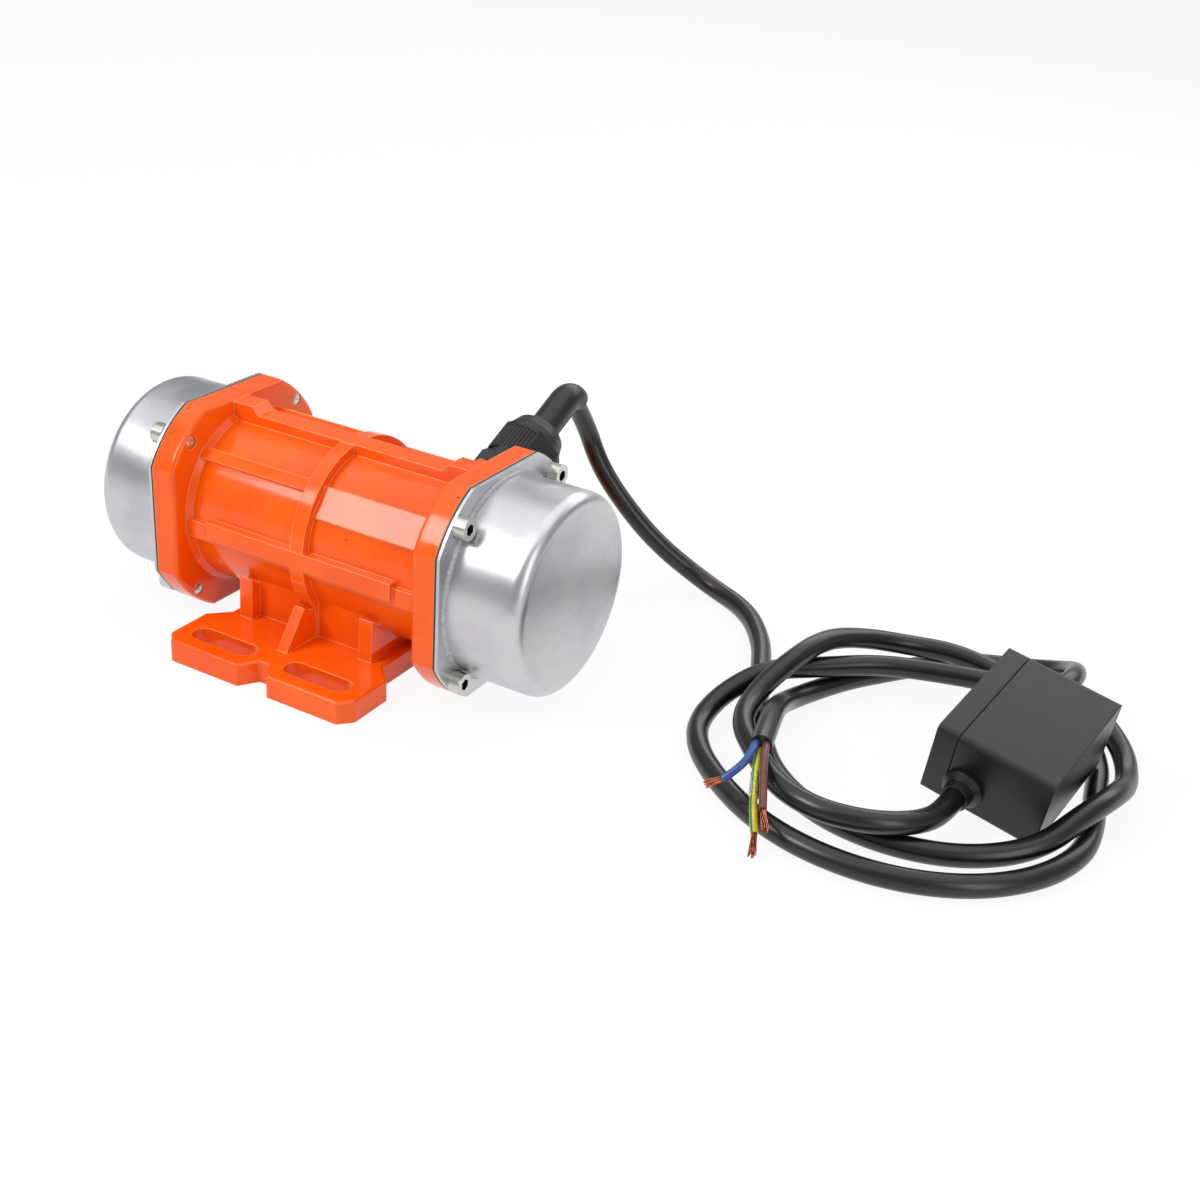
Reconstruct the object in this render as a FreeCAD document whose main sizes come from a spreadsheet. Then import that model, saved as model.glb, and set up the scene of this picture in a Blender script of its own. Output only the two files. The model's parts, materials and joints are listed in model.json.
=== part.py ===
"""Vibration motor: a cast foot-mounted housing, a shaft with eccentric weights at both ends,
two welded steel covers, a cable gland and a lead to a small capacitor box.

The motor axis is X, the feet stand on Z = 0 and the terminal side faces +Y. Millimetres.
"""
import FreeCAD, Part
import Sketcher
import math
import os
import re

Vector = FreeCAD.Vector
Rotation = FreeCAD.Rotation

# Driving sizes. Every one is a cell of the sheet with this alias; lengths in mm, angles in degrees.
SIZES = {
    # barrel, flanges and the pitch of the cover screws
    "stator_bore": 31.0, "barrel_wall": 3.8, "barrel_flare": 2.0, "flange_face": 66.0,
    "flange_thick": 10.3, "flange_round": 2.0, "flat_margin": 3.0, "floor_gap": 1.4,
    "screw_margin": 3.66, "cover_screw_radius": 2.5, "screw_gap": 0.05,
    # ribs, each height above the barrel
    "rib_height": 3.5, "rib_width": 7.2, "mid_rib_width": 6.2, "top_rib_width": 9.4,
    "top_rib_shift": 2.2, "low_rib_height": 1.8, "low_rib_length": 12.4, "low_rib_drop": 2.0,
    "end_block_length": 9.4, "end_block_height": 6.6, "end_block_slope": 2.6,
    "slant_angle": 45.0, "slant_rib_width": 5.0, "slant_rib_height": 2.4, "panel_angle": 52.0,
    "panel_width": 13.0, "panel_height": 0.8,
    # foot plate, web and gussets
    "foot_thick": 9.2, "foot_depth": 65.0, "foot_width": 44.2, "foot_nose": 39.6,
    "foot_nose_length": 5.2, "foot_neck": 37.0, "foot_neck_depth": 33.0, "foot_shoulder": 40.5,
    "foot_round": 1.2, "notch_outer": 7.0, "notch_inner": 2.4, "notch_depth": 7.4,
    "slot_spacing": 45.0, "slot_edge": 11.0, "slot_length": 30.0, "slot_width": 9.0,
    "web_width": 32.1, "web_inset": 5.8, "gusset_width": 6.1, "gusset_step": 5.3,
    "gusset_lean": 0.9, "gusset_top": 26.4, "gusset_cap": 4.4, "fin_width": 4.6,
    "fin_foot": 11.0, "fin_step": 7.5, "fin_top": 24.1, "relief_width": 52.0,
    "relief_depth": 48.0, "relief_height": 4.5, "relief_corner": 6.0,
    # terminal boss and gland
    "boss_lead": 6.8, "boss_taper": 4.0, "boss_width": 24.6, "boss_height": 6.2,
    "gland_offset": 13.9, "gland_rise": 25.0, "gland_thread": 8.0, "gland_hex": 26.0,
    "gland_hex_length": 8.0, "gland_stub": 9.5, "gland_stub_length": 11.0, "nut_radius": 14.0,
    "nut_flat": 12.6, "nut_length": 14.4, "groove_radius": 0.45, "dome_radius": 12.5,
    "dome_length": 10.2, "dome_mouth": 8.2, "sleeve_radius": 6.3, "sleeve_length": 17.7,
    "sleeve_round": 1.6, "sleeve_bend": 8.0, "sleeve_turn": 75.0, "seal_length": 5.0,
    # nameplate
    "badge_pad_height": 0.6, "badge_width": 22.0, "badge_margin": 1.5, "badge_thick": 0.6,
    # covers
    "gasket_thick": 0.8, "plate_thick": 1.2, "cover_step": 8.6, "cup_wall": 1.2,
    "cup_length": 31.0, "cup_round": 5.0, "bead_size": 1.3, "head_gap": 0.49,
    "head_radius": 4.25, "head_height": 5.0, "socket_size": 4.0, "socket_depth": 2.6,
    # end shields and bearings
    "shield_margin": 0.6, "shield_thick": 5.0, "spigot_length": 3.0, "hub_wall": 4.5,
    "bearing_radius": 17.5, "bearing_width": 11.0, "bearing_sink": 6.0, "bearing_bore": 7.5,
    "bearing_race": 2.7, "bearing_shield": 0.6, "shield_screw_step": 3.8,
    "shield_screw_radius": 2.0, "shield_head_radius": 3.4, "shield_head_height": 2.4,
    "shield_screw_bite": 4.0, "shaft_hole": 9.5, "seat_gap": 0.05,
    # stator and rotor
    "core_length": 40.0, "stator_wall": 13.05, "air_gap": 0.35, "winding_length": 8.0,
    "winding_wall": 8.5, "end_ring_length": 4.0, "shaft_core": 9.0, "shaft_end": 7.0,
    "shaft_overhang": 28.0,
    # eccentric weights
    "weight_clearance": 4.4, "weight_thick": 10.0, "weight_hub": 13.0, "weight_standoff": 3.5,
    "weight_gap": 0.5, "weight_step": 2.0, "key_width": 4.0, "key_height": 4.0,
    "clamp_height": 10.0, "clamp_radius": 2.0, "clamp_slit": 2.0, "ring_thick": 1.0,
    "ring_height": 3.0,
    # capacitor box, in its own frame: lid at low X, leads at both Y faces
    "box_x": 234.6, "box_y": 13.4, "box_z": 6.7, "box_yaw": -6.0, "box_pitch": 8.6,
    "box_roll": 9.4, "box_length": 43.8, "box_depth": 55.5, "box_height": 29.9,
    "box_wall": 2.0, "box_round": 2.0, "lid_thick": 8.0, "lid_seam": 0.3, "lip_depth": 2.0,
    "lip_gap": 0.25, "post_size": 6.0, "post_length": 10.0, "box_screw_radius": 1.3,
    "box_screw_head": 2.4, "box_screw_inset": 4.6, "grommet_radius": 7.4, "grommet_nose": 5.4,
    "grommet_length": 7.0, "grommet_neck": 4.6, "grommet_in_x": 14.8, "grommet_in_z": 9.9,
    "grommet_out_x": 19.0, "grommet_out_z": 10.0, "capacitor_radius": 10.5,
    "capacitor_length": 32.0, "terminal_length": 9.0, "terminal_height": 13.0,
    "terminal_width": 16.0, "inner_gap": 0.5,
    # leads
    "lead_radius": 4.1, "core_radius": 1.4, "copper_radius": 1.7, "strand_gap": 0.4,
}

# Sizes that follow from the driving ones, as formulas in the sheet.
DERIVED = {
    "barrel_radius": "stator_bore + barrel_wall",
    "cup_radius": "stator_bore + cover_step",
    "screw_circle": "cup_radius + head_gap + head_radius",
    "flange_radius": "screw_circle + screw_margin",
    "flange_flat": "cup_radius + flat_margin",
    "axis_height": "flange_flat + floor_gap",
    "rib_reach": "barrel_radius + rib_height",
    "low_rib_reach": "barrel_radius + low_rib_height",
    "end_block_reach": "barrel_radius + end_block_height",
    "slant_rib_reach": "barrel_radius + slant_rib_height",
    "panel_reach": "barrel_radius + panel_height",
    "badge_pad_reach": "barrel_radius + badge_pad_height",
    "boss_reach": "barrel_radius + boss_height",
    "web_depth": "barrel_radius - web_inset",
    "gusset_depth": "web_depth + gusset_step",
    "fin_reach": "web_depth + fin_step",
    "slot_row": "foot_depth - slot_edge",
    "shield_radius": "cup_radius - shield_margin",
    "shield_screw_circle": "stator_bore + shield_screw_step",
    "hub_radius": "bearing_radius + hub_wall",
    "rotor_radius": "stator_bore - stator_wall - air_gap",
    "weight_radius": "cup_radius - cup_wall - weight_clearance",
    "cup_end": "flange_face + gasket_thick + plate_thick + cup_length",
    "ring_radius": "shaft_end + ring_height",
    "bearing_face": "flange_face - bearing_sink",
    "weight_start": "flange_face + weight_standoff",
    "shaft_half": "flange_face + shaft_overhang",
    "gland_x": "flange_face - flange_thick - gland_offset",
    "boss_start": "gland_x - boss_lead",
}

FLANGE_INNER = "(flange_face - flange_thick)"
COVER_SEAT = "(flange_face + gasket_thick + plate_thick)"
ROTOR_HALF = "(core_length / 2)"

ALONG = {"X": Rotation(Vector(0, 1, 0), 90), "Y": Rotation(Vector(1, 0, 0), -90), "Z": Rotation()}

doc = FreeCAD.newDocument("vibration_motor")
sheet = doc.addObject("Spreadsheet::Sheet", "sheet")
CELLS = {**SIZES, **{alias: "=" + formula for alias, formula in DERIVED.items()}}
for row, (alias, content) in enumerate(CELLS.items(), start=1):
    sheet.set("A%d" % row, alias)
    sheet.setAlias("B%d" % row, alias)
    sheet.set("B%d" % row, str(content))
doc.recompute()

parts = []


# ---------------------------------------------------------------- helpers
def bind(formula):
    """Write the size names of a formula as references to the sheet's cells."""
    def cell(word):
        name = word.group()
        return "sheet." + name if name in CELLS else name
    return re.sub(r"[a-z][a-z_]*", cell, formula)


def size(formula):
    """The number that a formula of size names gives now."""
    return float(sheet.evalExpression(bind(formula)))


def place(feature, x="0", y="0", z="0", turn=None):
    """Set a feature's turn, and bind its place to the sheet."""
    if turn is not None:
        feature.Placement = FreeCAD.Placement(Vector(), turn)
    for axis, formula in zip("xyz", (x, y, z)):
        if formula != "0":
            feature.setExpression("Placement.Base." + axis, bind(formula))
    return feature


def block(name, x, y, z):
    """A box between pairs of formulas."""
    feature = doc.addObject("Part::Box", name)
    for side, (low, high) in zip(("Length", "Width", "Height"), (x, y, z)):
        feature.setExpression(side, bind("(%s) - (%s)" % (high, low)))
    return place(feature, x[0], y[0], z[0])


def rod(name, radius, length, start, along="X"):
    """A cylinder from start, a triple of formulas, along an axis."""
    feature = doc.addObject("Part::Cylinder", name)
    feature.setExpression("Radius", bind(radius))
    feature.setExpression("Height", bind(length))
    return place(feature, *start, turn=ALONG[along])


def axis_rod(name, radius, low, high):
    """A cylinder on the motor axis between two X places."""
    return rod(name, radius, "(%s) - (%s)" % (high, low), (low, "0", "axis_height"))


def hexagon(name, flats, length, start, turn):
    """A hexagonal prism given across its flats."""
    feature = doc.addObject("Part::Prism", name)
    feature.Polygon = 6
    feature.setExpression("Circumradius", bind("(%s) / 2 / cos(30)" % flats))
    feature.setExpression("Height", bind(length))
    return place(feature, *start, turn=turn)


def fuse(name, *pieces):
    feature = doc.addObject("Part::MultiFuse", name)
    feature.Shapes = list(pieces)
    return feature


def common(name, first, second):
    feature = doc.addObject("Part::Common", name)
    feature.Base = first
    feature.Tool = second
    return feature


def cut(name, base, *tools):
    feature = doc.addObject("Part::Cut", name)
    feature.Base = base
    feature.Tool = tools[0] if len(tools) == 1 else fuse(name + "_tools", *tools)
    return feature


def group(name, pieces):
    """Separate solids kept together in one node."""
    feature = doc.addObject("Part::Compound", name)
    feature.Links = list(pieces)
    return feature


def mirror(name, source):
    """The left-hand twin of a right-hand piece."""
    feature = doc.addObject("Part::Mirroring", name)
    feature.Source = source
    feature.Normal = Vector(1, 0, 0)
    return feature


def rounded(name, source, radius, wanted):
    """Fillet the edges of a source for which wanted(edge) is true."""
    doc.recompute()
    feature = doc.addObject("Part::Fillet", name)
    feature.Base = source
    blend = size(radius)
    feature.Edges = [(index, blend, blend) for index, edge in enumerate(source.Shape.Edges, start=1)
                     if wanted(edge)]
    return feature


def outline_sketch(body, name, role, outline):
    """A closed sketch of straight sides on an origin plane, each corner bound to the sheet."""
    sketch = body.newObject("Sketcher::SketchObject", name)
    plane = next(item for item in body.Origin.OriginFeatures if item.Role == role)
    sketch.AttachmentSupport = [(plane, "")]
    sketch.MapMode = "FlatFace"
    corners = [Vector(size(across), size(along), 0) for across, along in outline]
    count = len(corners)
    for index in range(count):
        sketch.addGeometry(Part.LineSegment(corners[index], corners[(index + 1) % count]), False)
    for index in range(count):
        following = (index + 1) % count
        sketch.addConstraint(Sketcher.Constraint("Coincident", index, 2, following, 1))
    for index, corner in enumerate(outline):
        for kind, formula, axis in zip(("DistanceX", "DistanceY"), corner, (-2, -1)):
            if formula == "0":
                sketch.addConstraint(Sketcher.Constraint("PointOnObject", index, 1, axis))
                continue
            fixed = Sketcher.Constraint(kind, -1, 1, index, 1, size(formula))
            number = sketch.addConstraint(fixed)
            sketch.setExpression("Constraints[%d]" % number, bind(formula))
    return sketch


def turned(name, profile):
    """A body turned about X from (X, radius) corners."""
    body = doc.addObject("PartDesign::Body", name)
    sketch = outline_sketch(body, name + "_profile", "XY_Plane", profile)
    feature = body.newObject("PartDesign::Revolution", name + "_turn")
    feature.Profile = sketch
    feature.ReferenceAxis = (sketch, ["H_Axis"])
    feature.Angle = 360
    body.Tip = feature
    return body


def axis_turned(name, profile):
    """A turned body on the motor axis."""
    return place(turned(name, profile), z="axis_height")


def padded(name, role, outline, length):
    """A body padded from an outline on an origin plane."""
    body = doc.addObject("PartDesign::Body", name)
    sketch = outline_sketch(body, name + "_outline", role, outline)
    feature = body.newObject("PartDesign::Pad", name + "_pad")
    feature.Profile = sketch
    feature.setExpression("Length", bind(length))
    body.Tip = feature
    return body


def radial_block(name, x, width, reach, angle):
    """A block on the barrel whose outside faces away from the axis at an angle from straight up.

    A positive angle leans it towards -Y, a negative one towards +Y.
    """
    feature = doc.addObject("Part::Box", name)
    feature.setExpression("Length", bind("(%s) - (%s)" % (x[1], x[0])))
    feature.setExpression("Width", bind(width))
    feature.setExpression("Height", bind(reach))
    place(feature, x[0], "-(%s) / 2 * cos(%s)" % (width, angle),
          "axis_height - (%s) / 2 * sin(%s)" % (width, angle),
          turn=Rotation(Vector(1, 0, 0), size(angle)))
    return feature


def part(label, feature):
    """Register a finished sub-part under its node name."""
    feature.Label = label
    parts.append(feature)
    return feature


def both_sides(label, feature):
    """Register a right-hand sub-part and its left-hand twin."""
    part(label + "_right", feature)
    part(label + "_left", mirror(label + "_twin", feature))


# ---------------------------------------------------------------- housing
def flange_blank(name, low, high):
    """The flange outline, a circle cut by four flats, between two X places."""
    disc = axis_rod(name + "_disc", "flange_radius", low, high)
    square = block(name + "_square", (low, high), ("-flange_flat", "flange_flat"),
                   ("axis_height - flange_flat", "axis_height + flange_flat"))
    return common(name, disc, square)


def screw_places():
    """Y and Z formulas of the four cover screws round the axis."""
    return [("%s * screw_circle * cos(45)" % y, "axis_height + %s * screw_circle * cos(45)" % z)
            for y in (-1, 1) for z in (-1, 1)]


def screw_holes(name, low, high):
    """The four cover screw holes between two X places."""
    length = "(%s) - (%s)" % (high, low)
    return [rod("%s_hole_%d" % (name, number), "cover_screw_radius + screw_gap", length, (low, y, z))
            for number, (y, z) in enumerate(screw_places())]


def on_inner_face(edge):
    """True for the rim edges of the flange's inner face."""
    return all(abs(vertex.X - size(FLANGE_INNER)) < 0.01 for vertex in edge.Vertexes)


def make_flange():
    blank = flange_blank("flange_blank", FLANGE_INNER, "flange_face")
    return rounded("flange", blank, "flange_round", on_inner_face)


def make_ribs():
    """Centre rib, long ribs, end blocks and the raised panel, as overlapping blocks."""
    inner = FLANGE_INNER
    far = "%s + 0.5" % inner
    half = "rib_width / 2"
    ribs = [axis_rod("mid_rib", "rib_reach", "-mid_rib_width / 2", "mid_rib_width / 2")]
    reach_end = "%s - low_rib_length" % inner
    ribs.append(block("side_ribs", ("-(%s)" % reach_end, reach_end), ("-rib_reach", "rib_reach"),
                      ("axis_height - " + half, "axis_height + " + half)))
    ribs.append(block("side_ribs_low", ("-(%s)" % far, far), ("-low_rib_reach", "low_rib_reach"),
                      ("axis_height - %s - low_rib_drop" % half, "axis_height + %s - low_rib_drop" % half)))
    near_edge = "-top_rib_shift - top_rib_width / 2"
    far_edge = "-top_rib_shift + top_rib_width / 2"
    ribs.append(block("top_rib", ("-(%s)" % far, far), (near_edge, far_edge),
                      ("axis_height", "axis_height + rib_reach")))
    base = "axis_height + barrel_radius - 2"
    end = padded("end_block", "XZ_Plane", [
        ("%s - end_block_length - end_block_slope" % inner, base),
        ("%s - end_block_length - end_block_slope" % inner, "axis_height + rib_reach"),
        ("%s - end_block_length" % inner, "axis_height + end_block_reach"),
        (far, "axis_height + end_block_reach"),
        (far, base)], "top_rib_width")
    place(end, y=far_edge)
    ribs += [end, mirror("end_block_left", end)]
    ribs.append(radial_block("slant_rib_near", ("-(%s)" % far, "0"), "slant_rib_width",
                             "slant_rib_reach", "slant_angle"))
    ribs.append(radial_block("panel_near", ("0", far), "panel_width", "panel_reach", "panel_angle"))
    ribs.append(radial_block("slant_rib_far", ("0", far), "slant_rib_width", "slant_rib_reach",
                             "-slant_angle"))
    ribs.append(radial_block("badge_pad", ("-(%s)" % far, "0"), "badge_width", "badge_pad_reach",
                             "-slant_angle"))
    return ribs


def foot_outline():
    """Foot plate corners: right half from the middle of the near edge, then mirrored twice."""
    near = [("notch_inner", "-(foot_depth - notch_depth)"), ("notch_outer", "-foot_depth"),
            ("foot_nose", "-foot_depth"), ("foot_width", "-(foot_depth - foot_nose_length)"),
            ("foot_width", "-foot_shoulder"), ("foot_neck", "-foot_neck_depth")]
    far = [(x, y[1:]) for x, y in reversed(near)]
    right = near + far
    return right + [("-" + x, y) for x, y in reversed(right)]


def upright_or_top(edge):
    """True for the foot plate's top rim and its upright corners."""
    ends = [vertex.Z for vertex in edge.Vertexes]
    return max(ends) > size("foot_thick") - 0.01


def make_foot():
    plate = padded("foot_plate", "XY_Plane", foot_outline(), "foot_thick")
    return rounded("foot_rounded", plate, "foot_round", upright_or_top)


def slot(name, x, y):
    """A through slot along X centred on x, y."""
    half = "(slot_length - slot_width) / 2"
    middle = block(name + "_middle", ("%s - %s" % (x, half), "%s + %s" % (x, half)),
                   ("%s - slot_width / 2" % y, "%s + slot_width / 2" % y), ("-1", "foot_thick + 1"))
    ends = [rod(name + "_end_" + side, "slot_width / 2", "foot_thick + 2",
                ("%s %s %s" % (x, sign, half), y, "-1"), "Z")
            for side, sign in (("low", "-"), ("high", "+"))]
    return fuse(name, middle, *ends)


def make_web():
    """Web under the barrel, the gussets at its ends and the long fins at its middle."""
    web = block("web", ("-web_width", "web_width"), ("-web_depth", "web_depth"), ("0.5", "axis_height"))
    spine = block("mid_rib_spine", ("-mid_rib_width / 2", "mid_rib_width / 2"),
                  ("-web_depth - 1", "web_depth + 1"), ("0.5", "axis_height"))
    low = "foot_thick - 2"
    gusset_side = [("gusset_depth", low), ("gusset_depth - gusset_lean", "gusset_top"),
                   ("gusset_depth - 7", "gusset_top - gusset_cap")]
    gusset_outline = gusset_side + [("-(%s)" % y, z) for y, z in reversed(gusset_side)]
    gusset = padded("gusset_right", "YZ_Plane", gusset_outline, "gusset_width")
    place(gusset, x="web_width - gusset_width")
    fin_side = [("fin_reach + fin_foot", low), ("fin_reach + fin_foot", "foot_thick"), ("fin_reach", "fin_top"),
                ("web_depth", "fin_top - 4")]
    fin_outline = fin_side + [("-(%s)" % y, z) for y, z in reversed(fin_side)]
    fin = padded("fin", "YZ_Plane", fin_outline, "fin_width")
    place(fin, x="-fin_width / 2")
    return [web, spine, gusset, mirror("gusset_left", gusset), fin]


def make_boss():
    """Terminal boss against the right flange, square to the gland."""
    tip = padded("terminal_boss", "XZ_Plane", [
        ("boss_start - boss_taper", "stator_bore + 1"), ("boss_start", "boss_reach"),
        ("%s + 0.5" % FLANGE_INNER, "boss_reach"), ("%s + 0.5" % FLANGE_INNER, "stator_bore + 1")],
        "boss_width")
    lean = Rotation(Vector(1, 0, 0), size("gland_rise - 90"))
    return place(tip, "0", "boss_width / 2 * cos(90 - gland_rise)",
                 "axis_height - boss_width / 2 * sin(90 - gland_rise)", turn=lean)


def gland_turn():
    """The turn that takes Z to the gland's direction."""
    return Rotation(Vector(1, 0, 0), size("gland_rise - 90"))


def gland_place(distance):
    """The point on the gland's line at a distance from the motor axis, as formulas."""
    return ("gland_x", "(%s) * cos(gland_rise)" % distance,
            "axis_height + (%s) * sin(gland_rise)" % distance)


def gland_rod(name, radius, low, high):
    """A cylinder on the gland's line."""
    feature = doc.addObject("Part::Cylinder", name)
    feature.setExpression("Radius", bind(radius))
    feature.setExpression("Height", bind("(%s) - (%s)" % (high, low)))
    return place(feature, *gland_place(low), turn=gland_turn())


def shield_screw_places():
    """Y and Z formulas of the end shield screws."""
    return [("shield_screw_circle * cos(%d)" % angle, "axis_height + shield_screw_circle * sin(%d)" % angle)
            for angle in (0, 90, 180, 270)]


def make_housing():
    inner = FLANGE_INNER
    barrel = axis_rod("barrel", "barrel_radius", "-(%s) - 1" % inner, "%s + 1" % inner)
    flange = make_flange()
    flare = axis_turned("flare", [(inner + " - barrel_flare", "barrel_radius - 1"),
                                  (inner + " - barrel_flare", "barrel_radius"),
                                  (inner, "barrel_radius + barrel_flare"), (inner + " + 1", "barrel_radius - 1")])
    solids = [barrel, flange, mirror("flange_left", flange), flare, mirror("flare_left", flare),
              make_foot(), make_boss()] + make_ribs() + make_web()
    raw = fuse("housing_raw", *solids)

    recess_floor = "flange_face - shield_thick"
    tools = [axis_rod("stator_hole", "stator_bore", "-(%s) - 1" % recess_floor, recess_floor + " + 1")]
    recess = axis_rod("shield_recess", "shield_radius + seat_gap", recess_floor, "flange_face + 1")
    tools += [recess, mirror("shield_recess_left", recess)]
    ends = screw_holes("flange", inner + " - 1", "flange_face + 1")
    ends += [rod("shield_thread_%d" % number, "shield_screw_radius + screw_gap", "shield_thick",
                 (recess_floor + " - shield_screw_bite - 0.5", y, z)) for number, (y, z) in enumerate(shield_screw_places())]
    end_holes = fuse("end_holes", *ends)
    tools += [end_holes, mirror("end_holes_left", end_holes)]
    tools += [slot("slot_%s_%s" % (side, row), "%s * slot_spacing / 2" % x, "%s * slot_row" % y)
              for side, x in (("left", -1), ("right", 1)) for row, y in (("near", -1), ("far", 1))]
    tools.append(gland_rod("gland_hole", "gland_thread + screw_gap", "stator_bore - 4", "boss_reach + 1"))
    pocket = block("foot_relief_block", ("-relief_width / 2", "relief_width / 2"),
                   ("-relief_depth / 2", "relief_depth / 2"), ("-1", "relief_height"))
    upright = rounded("foot_relief", pocket, "relief_corner", lambda edge: abs(edge.tangentAt(0).z) > 0.9)
    tools.append(upright)
    return part("housing", cut("housing", raw, *tools))


def make_badge():
    """Bare metal plate on its pad behind the top rib."""
    inner = FLANGE_INNER
    outer = radial_block("badge_outer", ("-(%s) + badge_margin + barrel_flare" % inner,
                                         "-mid_rib_width / 2 - badge_margin"),
                         "badge_width - 2 * badge_margin", "badge_pad_reach + badge_thick", "-slant_angle")
    hidden = radial_block("badge_hidden", ("-(%s)" % inner, "0"), "badge_width", "badge_pad_reach",
                          "-slant_angle")
    return part("nameplate", cut("badge", outer, hidden))


# ---------------------------------------------------------------- stator, rotor and bearings
def make_stator():
    outer = axis_rod("stator_outer", "stator_bore - seat_gap", "-" + ROTOR_HALF, ROTOR_HALF)
    inner = axis_rod("stator_inner", "rotor_radius + air_gap", "-%s - 1" % ROTOR_HALF, ROTOR_HALF + " + 1")
    part("stator_core", cut("stator", outer, inner))
    low = "rotor_radius + air_gap + 1"
    winding = axis_turned("winding", [
        (ROTOR_HALF, low), (ROTOR_HALF, low + " + winding_wall"),
        (ROTOR_HALF + " + winding_length * 0.7", low + " + winding_wall"),
        (ROTOR_HALF + " + winding_length", low + " + winding_wall * 0.7"),
        (ROTOR_HALF + " + winding_length", low + " + winding_wall * 0.3"),
        (ROTOR_HALF + " + winding_length * 0.7", low)])
    both_sides("winding_head", winding)


def make_end_shields():
    face = "flange_face"
    floor = "flange_face - shield_thick"
    seat = "bearing_radius + seat_gap"
    hub_end = "bearing_face - bearing_width"
    body = axis_turned("shield_body", [
        (hub_end, seat), (hub_end, "hub_radius"), (floor + " - spigot_length", "hub_radius"),
        (floor + " - spigot_length", "stator_bore - seat_gap"), (floor, "stator_bore - seat_gap"),
        (floor, "shield_radius"), (face, "shield_radius"), (face, "shaft_hole"),
        ("bearing_face + 1", "shaft_hole"), ("bearing_face + 1", "bearing_radius - bearing_race"),
        ("bearing_face", "bearing_radius - bearing_race"), ("bearing_face", seat)])
    holes = []
    screws = []
    for number, (y, z) in enumerate(shield_screw_places()):
        holes.append(rod("shield_hole_%d" % number, "shield_screw_radius + screw_gap",
                         "shield_thick + spigot_length + 2", (floor + " - spigot_length - 1", y, z)))
        holes.append(rod("shield_sink_%d" % number, "shield_head_radius + screw_gap", "shield_thick",
                         ("flange_face - shield_head_height", y, z)))
        shank = rod("shield_shank_%d" % number, "shield_screw_radius",
                    "shield_thick + shield_screw_bite - shield_head_height",
                    (floor + " - shield_screw_bite", y, z))
        head = rod("shield_head_%d" % number, "shield_head_radius", "shield_head_height",
                   ("flange_face - shield_head_height", y, z))
        drive = hexagon("shield_drive_%d" % number, "shield_screw_radius * 1.25", "shield_head_height",
                        ("flange_face - shield_head_height / 2", y, z), ALONG["X"])
        screws.append(cut("shield_screw_%d" % number, fuse("shield_blank_%d" % number, shank, head), drive))
    both_sides("end_shield", cut("end_shield", body, *holes))
    both_sides("shield_screws", group("shield_screws", screws))


def make_bearings():
    low = "bearing_face - bearing_width"
    high = "bearing_face"
    land = "bearing_bore + bearing_race"
    lip = land + " + bearing_shield"
    outer = axis_turned("race_outer", [
        (low, "bearing_radius"), (high, "bearing_radius"), (high, lip), (high + " - bearing_shield", lip),
        (high + " - bearing_shield", "bearing_radius - bearing_race"),
        (low + " + bearing_shield", "bearing_radius - bearing_race"), (low + " + bearing_shield", lip),
        (low, lip)])
    both_sides("bearing_outer", outer)
    inner = axis_turned("race_inner", [(low, "bearing_bore"), (low, land), (high, land),
                                       (high, "bearing_bore")])
    both_sides("bearing_inner", inner)


def make_shaft():
    """Stepped shaft: weight ends, bearing seats, core seat, and a keyway near each end."""
    def from_end(place_on_axis):
        return "shaft_half - (%s)" % place_on_axis
    seat = "bearing_face - bearing_width"
    steps = [("shaft_half", "shaft_end"), ("bearing_face", "shaft_end"), ("bearing_face", "bearing_bore"),
             (seat, "bearing_bore"), (seat, "shaft_core")]
    left = [(from_end(x), radius) for x, radius in steps]
    left[0] = ("0", "shaft_end")
    right = [("shaft_half + (%s)" % x, radius) for x, radius in reversed(steps)]
    profile = [("0", "0")] + left + right + [("2 * shaft_half", "0")]
    blank = place(turned("shaft_blank", profile), x="-shaft_half", z="axis_height")
    slot_right = block("keyway", ("weight_start", "weight_start + weight_thick"),
                       ("-key_width / 2", "key_width / 2"),
                       ("axis_height + shaft_end - key_height / 2", "axis_height + shaft_end + 1"))
    part("shaft", cut("shaft", blank, slot_right, mirror("keyway_left", slot_right)))


def make_rotor():
    core = axis_rod("rotor_outer", "rotor_radius", "-" + ROTOR_HALF, ROTOR_HALF)
    bore = axis_rod("rotor_bore", "shaft_core", "-%s - 1" % ROTOR_HALF, ROTOR_HALF + " + 1")
    part("rotor_core", cut("rotor", core, bore))
    ring = axis_turned("end_ring", [
        (ROTOR_HALF, "rotor_radius * 0.7"), (ROTOR_HALF, "rotor_radius - 0.6"),
        (ROTOR_HALF + " + end_ring_length", "rotor_radius - 1.2"),
        (ROTOR_HALF + " + end_ring_length", "rotor_radius * 0.7 + 0.6")])
    both_sides("rotor_ring", ring)


# ---------------------------------------------------------------- eccentric weights
def weight_blank(name, low):
    """Half disc with a round hub, heavy side down, bored for the shaft."""
    high = "%s + weight_thick" % low
    disc = axis_rod(name + "_disc", "weight_radius", low, high)
    lower = block(name + "_lower", (low, high), ("-weight_radius - 1", "weight_radius + 1"),
                  ("axis_height - weight_radius - 1", "axis_height - weight_step"))
    half = common(name + "_half", disc, lower)
    hub = axis_rod(name + "_hub", "weight_hub", low, high)
    bore = axis_rod(name + "_bore", "shaft_end + seat_gap", low + " - 1", high + " + 1")
    return fuse(name + "_solid", half, hub), bore


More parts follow.
